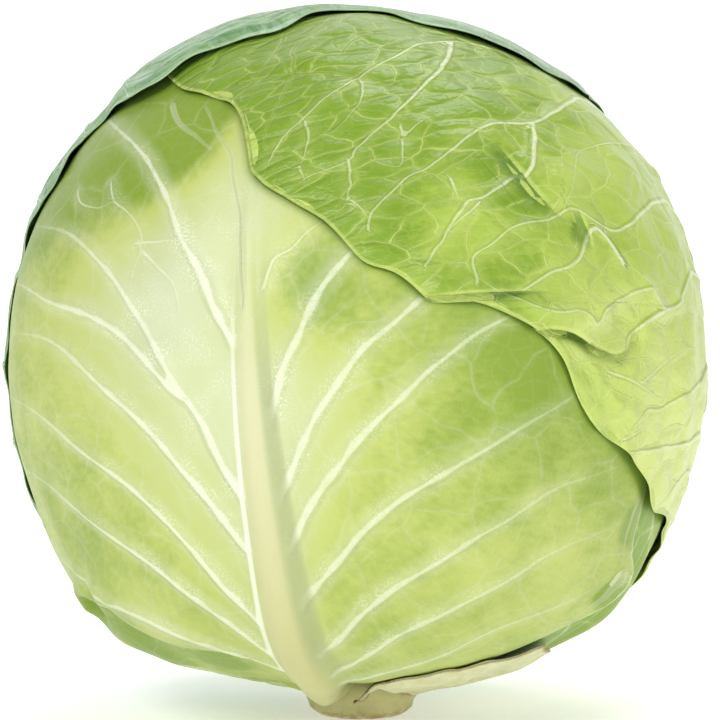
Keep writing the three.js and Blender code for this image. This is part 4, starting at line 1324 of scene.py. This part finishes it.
class LeafPaint(Finish):
    """A leaf's finish, laid coat by coat over its green. Lengths are in millimetres, and noise
    and cells are so many to a millimetre of the leaf's drawing.
    """

    def __init__(self, name, tones, look):
        super().__init__(name)
        self.deep, self.light, self.pale, self.vein, self.cream = (paint(tone) for tone in tones)
        self.look = look
        self.flat = self.drawing(1000.0)
        self.paleness = self.mark("pale")
        self.depth = self.mark("depth")
        self.ragged = (self.noise(self.flat, 1.3, 3.0, 0.7) - 0.5) * look["ragged"]
        self.ridge = 0.0

    def coat(self, share, colour):
        """Lays a colour over what is there, by a share from 0 to 1."""
        self.colour = self.mix(share, self.colour, colour)

    def lay_green(self):
        """Deep green, light where the leaf is paler and pale where it is palest, in patches."""
        drift = self.noise(self.flat, 0.045, 2.0) - 0.5
        mottle = (self.noise(self.flat, 0.55, 4.0, 0.6) - 0.5) * 0.5
        patches = self.noise(self.flat, 0.07, 5.0, 0.62)
        spotted = 1.5 * (patches - 0.5) * self.look["blotch"] + mottle
        light_share = (self.paleness * 1.6 + 0.6 + spotted).step(0.0, 1.0)
        self.colour = self.mix(light_share, self.deep, self.light)
        self.coat((self.paleness * (1.0 + 0.9 * drift) - 0.12) * self.look["pale"], self.pale)

    def lay_net(self):
        """A broken net of pale threads round warped cells, and a finer net over it."""
        self.cells = self.edges(self.warp(self.flat, 0.06, 10.0), self.look["mesh"])
        broken = self.noise(self.flat, 0.1, 2.0).step(0.36, 0.5)
        self.thread = self.cells.step(0.03, 0.01) * broken
        self.coat(self.cells.step(0.1, 0.0) * self.look["net"] * 0.4, self.pale)
        self.coat(self.thread * self.look["net"], self.pale)
        self.fine = self.edges(self.warp(self.flat, 0.3, 2.5), 0.22)
        self.coat(self.fine.step(0.12, 0.0) * self.look["fine"], self.pale)

    def lay_streaks(self):
        """Bluish wax and deep green in streaks that run beside the folded margin."""
        run = self.join(self.depth * 0.34, self.mark("along") * 0.016)
        streak = self.noise(run, 1.2, 4.0, 0.65)
        near = self.depth.step(40.0, 12.0) * self.mark("bloom")
        self.coat(streak.step(0.48, 0.62) * near * self.look["streaks"], self.look["wax"])
        self.coat(streak.step(0.48, 0.36) * near * 0.8, self.deep)

    def lay_veins(self):
        """Pale ragged veins with a halo and painted shade along their right side, and powder in
        specks by them.
        """
        grain = self.noise(self.flat, 0.35, 3.0).step(0.2, 0.6) * 0.35 + 0.65
        dusty = self.noise(self.flat, 0.12, 2.0).step(0.42, 0.6)
        self.powder = (self.paleness - 0.25).step(0.0, 0.6) * dusty * 0.6
        for kind, halo, line in VEIN_PAINT:
            share, gap, strength = self.marks(kind)
            band = gap.step(*VEIN_BAND) * strength
            core = (share * share + self.ragged).step(1.5, 0.15) * band
            self.powder = gap.step(4.2, 1.0) * strength * dusty * line + self.powder
            self.coat(gap.step(4.8, 0.4) * strength * halo * self.look["halo"], self.pale)
            # Painted shade along each vein's right side, in the deep green.
            dark = ((share + 2.2) * (share + 2.2)).step(1.6, 0.1) * band
            self.coat(dark * self.look["furrow"] * line, self.deep)
            self.coat(core * grain * line * self.look["vein"], self.vein)
            tube = (share * share).step(5.0, 0.0) * band * self.look["tube"] * line
            self.ridge = tube + self.ridge

    def lay_furrows(self):
        """Furrows with painted shade in them and pale shoulders, and then the veins' powder."""
        share, gap, strength = self.marks("furrow")
        square = share * share
        band = gap.step(*VEIN_BAND) * strength
        self.coat(square.step(14.0, 4.0) * band * self.look["halo"] * 0.5, self.pale)
        # Painted shade in the furrow's groove.
        groove = (square + self.ragged).step(2.2, 0.1) * band
        self.coat(groove * self.look["groove"], self.look["shade_colour"])
        self.ridge = self.ridge - groove * 0.12
        specks = self.noise(self.flat, 1.9, 2.0, 0.6).step(0.5, 0.62) * self.look["dust"]
        self.coat(specks * self.powder, POWDER)

    def lay_rib(self):
        """The cream midrib, shaded along its right side and with a white line along its left."""
        across, fade, climb = self.marks("rib")
        slim = across * (1.0 + 1.3 * climb * climb)
        self.body = (slim * slim).step(1.25, 0.35) * fade
        tip = paint(blend(self.cream, self.vein, 0.35))
        flesh = self.mix(climb.step(0.15, 0.7), self.cream, tip)
        self.coat(self.body * self.look["rib"], flesh)
        shade = ((across - 1.05) * (across - 1.05)).step(0.35, 0.0) * fade * climb.step(0.06, 0.3)
        self.coat(shade * self.look["rib_shade"], self.look["shade_colour"])
        line = ((across + 0.95) * (across + 0.95)).step(0.03, 0.002) * fade
        self.coat(line * climb.step(0.95, 0.5) * self.look["rib"] * 0.9, RIB_WHITE)

    def lay_shade(self):
        """Painted shade below the leaves over this one and below its pleats, a painted highlight on
        each pleat's lip, and pale margin rims.
        """
        cover = self.mark("cover")
        self.coat(cover.step(COVER_SHADE, 0.2) * 0.55, self.deep)
        self.coat(cover.step(1.3, 0.1) * 0.45, self.look["dark"])
        off, _, grown = self.marks("crease")
        under = off.step(-7.0, -2.2) * off.step(0.05, -0.05) * grown
        self.coat(under * 0.8, self.look["dark"])
        # A painted highlight along the lip of each pleat's upper sheet.
        lip = off.step(-0.02, 0.1) * off.step(1.3, 0.5) * grown
        self.coat(lip * 0.5, self.pale)
        self.coat(self.depth.step(0.8, 0.2) * 0.5, self.pale)


def leaf_finish(name, tones, look):
    """A waxy leaf: green that pales beside its midrib, pale veins, a net of small veins, and
    painted shade in its creases and under what lies over it.
    """
    leaf = LeafPaint(name, tones, look)
    leaf.lay_green()
    leaf.lay_net()
    if look["streaks"]:
        leaf.lay_streaks()
    leaf.lay_veins()
    leaf.lay_furrows()
    leaf.lay_rib()
    leaf.lay_shade()
    roughness = look["rough"] + 0.14 * leaf.noise(leaf.flat, 0.2)
    swollen = leaf.cells.step(0.0, 0.3) * 0.3 + leaf.fine.step(0.0, 0.2) * 0.05
    relief = (swollen + leaf.thread * 0.1) * look["relief"] * (1.0 - leaf.body) + leaf.ridge
    relief = relief + leaf.noise(leaf.flat, 0.9, 4.0) * 0.08
    return leaf.finish(leaf.colour, roughness, relief, WAX)


def flesh_finish(name, colour, dark, brown, brown_height):
    """Pale dense flesh with faint streaks, dried brown near the cut."""
    flesh = Finish(name)
    where = flesh.place(1000.0)
    streaks = flesh.noise(where, 0.25, 4.0, 0.6)
    base = flesh.mix(streaks.step(0.35, 0.7), paint(colour), paint(dark))
    height = flesh.node("ShaderNodeSeparateXYZ", {}, {"Vector": where}, output="Z")
    dry = height.step(brown_height, 0.2) * flesh.noise(where, 0.5, 3.0).step(0.4, 0.62)
    base = flesh.mix(dry * 0.75, base, paint(brown))
    roughness = 0.5 + 0.2 * streaks
    return flesh.finish(base, roughness, streaks * 0.4, {})


def dress(piece, node, material):
    """Gives a finished piece its material and its body, and hides the imported part of the node it
    stands for.
    """
    piece.data.materials.append(material)
    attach(piece, "root")
    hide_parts(node)


class CabbageSizes(bpy.types.PropertyGroup):
    """Heights of the relief on the leaves."""

    vein_height: bpy.props.FloatProperty(
        name="Vein height",
        description="How far a side vein stands out where it leaves the midrib",
        default=0.001,
        unit="LENGTH",
    )
    puff: bpy.props.FloatProperty(
        name="Puff",
        description="How far the blade swells in soft blisters",
        default=0.0004,
        unit="LENGTH",
    )


def colour_property(name, description, default):
    """A colour that the user can change."""
    return bpy.props.FloatVectorProperty(
        name=name, description=description, default=default, subtype="COLOR", size=3, min=0, max=1
    )


class CabbageColours(bpy.types.PropertyGroup):
    """Colours of the leaves and the flesh."""

    front_deep: colour_property("Front leaf, deep", "Green far from the midrib", (0.222, 0.33, 0.028))
    front_light: colour_property("Front leaf, light", "Green near the midrib", (0.485, 0.555, 0.145))
    front_pale: colour_property("Front leaf, pale", "Colour beside the midrib", (0.61, 0.66, 0.44))
    right_deep: colour_property("Right leaf, deep", "Green far from the midrib", (0.19, 0.32, 0.02))
    right_light: colour_property("Right leaf, light", "Green near the midrib", (0.35, 0.48, 0.065))
    right_pale: colour_property("Right leaf, pale", "Colour beside the midrib", (0.6, 0.69, 0.2))
    rear_deep: colour_property("Rear leaf, deep", "Green far from the midrib", (0.11, 0.25, 0.1))
    rear_light: colour_property("Rear leaf, light", "Green near the midrib", (0.19, 0.35, 0.12))
    rear_pale: colour_property("Rear leaf, pale", "Colour beside the midrib", (0.5, 0.66, 0.42))
    vein: colour_property("Veins", "Colour of the veins", (0.78, 0.82, 0.62))
    cream: colour_property("Cream", "Colour of thick leaf bases and of the stem", (0.56, 0.54, 0.25))
    flesh: colour_property("Flesh", "Colour of the heart and the stem", (0.72, 0.74, 0.42))
    dry: colour_property("Dry cut", "Colour of the dried edge of a cut", (0.33, 0.2, 0.08))


# How the leaves are painted. Most values are the strength of a coat; the furrow, groove and rib_shade
# coats are painted shade beside the veins, in the furrows and along the midrib's right side, and dark
# is the colour of the painted shadow under the leaves over a leaf and under its pleats. The others are
# the net's cells to a millimetre (mesh), the roughness (rough), how ragged the veins are, how white
# (from the leaf's pale colour to the veins' own), and how high they stand in millimetres (tube).
FRONT_LOOK = {
    "pale": 0.9, "net": 0.12, "mesh": 0.07, "fine": 0.04, "blotch": 0.8, "halo": 0.8, "furrow": 0.15,
    "vein": 0.85, "rib": 0.9, "rib_shade": 0.75, "relief": 0.1, "streaks": 0, "rough": 0.4,
    "tube": 0.12, "vein_white": 1.0, "ragged": 2.0, "dust": 0.4, "groove": 0.45,
    # Colours of painted shade in the furrows and along the midrib's right side, of painted shadow under
    # the leaves over a leaf and its pleats, and of the bluish wax
    "shade_colour": (0.38, 0.42, 0.2, 1.0), "dark": (0.1, 0.2, 0.02, 1.0), "wax": (0.52, 0.72, 0.58, 1.0),
}
RIGHT_LOOK = {
    **FRONT_LOOK, "vein_white": 0.75, "tube": 0.2, "pale": 0.7, "net": 0.42, "mesh": 0.09, "fine": 0.07,
    "blotch": 1.5, "halo": 0.6, "furrow": 0.6, "vein": 0.85, "relief": 1.4, "rough": 0.26,
    "ragged": 1.2, "dust": 0.15, "groove": 0.55, "shade_colour": (0.12, 0.22, 0.02, 1.0),
}
REAR_LOOK = {**RIGHT_LOOK, "net": 0.2, "streaks": 0.55, "vein_white": 0.8}
INNER_LOOK = {
    **FRONT_LOOK, "pale": 0.8, "net": 0.3, "rib": 0.15, "rib_shade": 0.2, "halo": 0.2, "vein": 0.35,
    "dust": 0.0,
}


def build_leaf(context, name, shades, look):
    """Makes one leaf with its own shades."""
    layer = [leaf.name for leaf in WRAPPERS].index(name)
    piece = leaf_piece(WRAPPERS[layer], layer, context.scene.cabbage_sizes)
    colours = context.scene.cabbage_colours
    tones = [getattr(colours, f"{shades}_{tone}") for tone in ("deep", "light", "pale")]
    tones += [blend(tones[2], colours.vein, look["vein_white"]), colours.cream]
    dress(piece, name, leaf_finish(f"{name}_skin", tones, look))


class CABBAGE_OT_front_leaf(bpy.types.Operator):
    """Makes the front leaf, with its thick midrib"""

    bl_idname = "cabbage.front_leaf"
    bl_label = "Front leaf"

    def execute(self, context):
        build_leaf(context, "front_leaf", "front", FRONT_LOOK)
        return {"FINISHED"}


class CABBAGE_OT_right_leaf(bpy.types.Operator):
    """Makes the right leaf, with its folded tongues"""

    bl_idname = "cabbage.right_leaf"
    bl_label = "Right leaf"

    def execute(self, context):
        build_leaf(context, "right_leaf", "right", RIGHT_LOOK)
        return {"FINISHED"}


class CABBAGE_OT_rear_leaf(bpy.types.Operator):
    """Makes the rear leaf, with its bluish bloom"""

    bl_idname = "cabbage.rear_leaf"
    bl_label = "Rear leaf"

    def execute(self, context):
        build_leaf(context, "rear_leaf", "rear", REAR_LOOK)
        return {"FINISHED"}


class CABBAGE_OT_inner_leaves(bpy.types.Operator):
    """Makes the three inner leaves, which mostly lie under the others"""

    bl_idname = "cabbage.inner_leaves"
    bl_label = "Inner leaves"

    def execute(self, context):
        for side in ("left", "right", "rear"):
            build_leaf(context, f"inner_leaf_{side}", "right", INNER_LOOK)
        return {"FINISHED"}


class CABBAGE_OT_cut_leaf_base(bpy.types.Operator):
    """Makes the base of a leaf that was cut away"""

    bl_idname = "cabbage.cut_leaf_base"
    bl_label = "Cut leaf base"

    def execute(self, context):
        colours = context.scene.cabbage_colours
        layer = len(WRAPPERS) - 1
        piece = leaf_piece(WRAPPERS[layer], layer, context.scene.cabbage_sizes)
        base = Finish("cut_leaf_base_skin")
        flat = base.drawing(1000.0)
        tones = [paint(blend(colours.cream, colours.vein, share)) for share in (0.2, 0.6)]
        colour = base.mix(base.noise(flat, 0.2).step(0.3, 0.7), *tones)
        dried = base.mark("depth") + 1.6 * base.noise(flat, 0.35, 3.0)
        colour = base.mix(dried.step(2.2, 0.9) * 0.85, colour, paint(colours.dry))
        roughness = 0.55 + 0.1 * base.noise(flat, 0.5)
        material = base.finish(colour, roughness, base.noise(flat, 0.8) * 0.4, WAX)
        dress(piece, "cut_leaf_base", material)
        return {"FINISHED"}


class CABBAGE_OT_heart(bpy.types.Operator):
    """Makes the heart of tight inner leaves"""

    bl_idname = "cabbage.heart"
    bl_label = "Heart"

    def execute(self, context):
        colours = context.scene.cabbage_colours
        light = blend(colours.flesh, colours.front_light, 0.4)
        material = flesh_finish("heart_flesh", colours.flesh, light, colours.flesh, 0.3)
        dress(heart_piece(), "heart", material)
        return {"FINISHED"}


class CABBAGE_OT_stem(bpy.types.Operator):
    """Makes the stem with its dried cut face"""

    bl_idname = "cabbage.stem"
    bl_label = "Stem"

    def execute(self, context):
        colours = context.scene.cabbage_colours
        dark = blend(colours.cream, colours.dry, 0.15)
        material = flesh_finish("stem_flesh", colours.cream, dark, colours.dry, 3.5)
        dress(stem_piece(), "stem", material)
        return {"FINISHED"}


# The studio, in metres and watts
FLOOR_HALF = 1.6
BACK_Y = 1.1
BACK_TOP = 1.8
COVE = {"radius": 0.5, "steps": 16}
PAPER = {"light": (0.93, 0.93, 0.93, 1.0), "dark": (0.9, 0.9, 0.9, 1.0), "glow": 0.35}
WHITE = (1.0, 1.0, 1.0, 1.0)
WORLD_STRENGTH = 0.42
AIM_HEIGHT = 0.09
CAMERA = {
    "distance": 0.6, "elevation": 1, "lens": 117, "sensor": 36, "target": 0.09074,
    "shift_x": -0.0014,
}
LAMPS = (
    {"name": "key", "place": (-0.5, -1.15, 0.85), "size": 0.5, "power": 10.2},
    {"name": "fill", "place": (0.9, -0.9, 0.45), "size": 1.0, "power": 4.0},
    {"name": "top", "place": (0.25, 0.35, 1.2), "size": 0.6, "power": 4.5},
)


def floor_piece():
    """A paper floor whose back rises through a quarter of a circle and then goes straight up."""
    angles = np.linspace(0, math.pi / 2, COVE["steps"])
    curve_y = BACK_Y - COVE["radius"] + COVE["radius"] * np.sin(angles)
    curve_z = COVE["radius"] * (1 - np.cos(angles))
    y = np.concatenate([[-FLOOR_HALF], curve_y, [BACK_Y]]) * 1000
    z = np.concatenate([[0], curve_z, [BACK_TOP]]) * 1000
    sides = [np.full(len(y), side * FLOOR_HALF * 1000) for side in (-1, 1)]
    rows = [np.stack([x, y, z], axis=-1) for x in sides]
    left = np.arange(len(y) - 1)
    right = left + len(y)
    quads = np.stack([left, right, right + 1, left + 1], axis=-1)
    floor = make_piece("floor", np.vstack(rows), quads)
    paper = Finish("paper")
    grain = paper.noise(paper.place(1.0), 3.0)
    shade = paper.mix(grain.step(0.3, 0.7), PAPER["dark"], PAPER["light"])
    glow = {"Emission Color": WHITE, "Emission Strength": PAPER["glow"]}
    floor.data.materials.append(paper.finish(shade, 0.9 + 0.05 * grain, grain * 0.01, glow))
    return floor


def white_world():
    """A plain white world."""
    world = bpy.data.worlds.new("studio")
    world.use_nodes = True
    background = world.node_tree.nodes["Background"]
    background.inputs["Color"].default_value = WHITE
    background.inputs["Strength"].default_value = WORLD_STRENGTH
    return world


def soft_lamp(name, place, size, power):
    """A square lamp, turned to the middle of the head."""
    light = bpy.data.lights.new(name, "AREA")
    light.size = size
    light.energy = power
    lamp = bpy.data.objects.new(name, light)
    lamp.location = place
    aim = Vector((0, 0, AIM_HEIGHT)) - lamp.location
    lamp.rotation_euler = aim.to_track_quat("-Z", "Y").to_euler()
    return lamp


def front_camera():
    """The camera, in front of the head and a little above its middle."""
    camera = bpy.data.cameras.new("camera")
    camera.sensor_width = CAMERA["sensor"]
    camera.lens = CAMERA["lens"]
    camera.shift_x = CAMERA["shift_x"]
    holder = bpy.data.objects.new("camera", camera)
    climb = math.radians(CAMERA["elevation"])
    flat = CAMERA["distance"] * math.cos(climb)
    holder.location = (0, -flat, CAMERA["target"] + CAMERA["distance"] * math.sin(climb))
    holder.rotation_euler = (math.pi / 2 - climb, 0, 0)
    return holder


class CABBAGE_OT_stage(bpy.types.Operator):
    """Makes the floor, the lights and the camera"""

    bl_idname = "cabbage.stage"
    bl_label = "Stage"

    def execute(self, context):
        floor_piece()
        scene = context.scene
        scene.world = white_world()
        for lamp in LAMPS:
            context.collection.objects.link(soft_lamp(**lamp))
        scene.camera = front_camera()
        context.collection.objects.link(scene.camera)
        scene.view_settings.view_transform = "Standard"
        return {"FINISHED"}


class CABBAGE_PT_panel(bpy.types.Panel):
    """Lists what can be made and changed"""

    bl_idname = "CABBAGE_PT_panel"
    bl_label = "Green cabbage"
    bl_space_type = "VIEW_3D"
    bl_region_type = "UI"
    bl_category = "Cabbage"

    def draw(self, context):
        for group in (context.scene.cabbage_sizes, context.scene.cabbage_colours):
            for key in group.bl_rna.properties.keys():
                if key not in ("rna_type", "name"):
                    self.layout.prop(group, key)
        for operator in OPERATORS:
            self.layout.operator(operator.bl_idname)


OPERATORS = (
    CABBAGE_OT_stage,
    CABBAGE_OT_stem,
    CABBAGE_OT_heart,
    CABBAGE_OT_inner_leaves,
    CABBAGE_OT_front_leaf,
    CABBAGE_OT_right_leaf,
    CABBAGE_OT_rear_leaf,
    CABBAGE_OT_cut_leaf_base,
)
CLASSES = (CabbageSizes, CabbageColours, *OPERATORS, CABBAGE_PT_panel)


def register():
    """Registers the classes and the scene's properties."""
    for cls in CLASSES:
        bpy.utils.register_class(cls)
    bpy.types.Scene.cabbage_sizes = bpy.props.PointerProperty(type=CabbageSizes)
    bpy.types.Scene.cabbage_colours = bpy.props.PointerProperty(type=CabbageColours)


def unregister():
    """Takes back what register did."""
    del bpy.types.Scene.cabbage_colours
    del bpy.types.Scene.cabbage_sizes
    for cls in reversed(CLASSES):
        bpy.utils.unregister_class(cls)


def main():
    """Registers the add-on and makes every piece in order."""
    register()
    bpy.ops.cabbage.stage()
    bpy.ops.cabbage.stem()
    bpy.ops.cabbage.heart()
    bpy.ops.cabbage.inner_leaves()
    bpy.ops.cabbage.front_leaf()
    bpy.ops.cabbage.right_leaf()
    bpy.ops.cabbage.rear_leaf()
    bpy.ops.cabbage.cut_leaf_base()


if __name__ == "__main__":
    main()
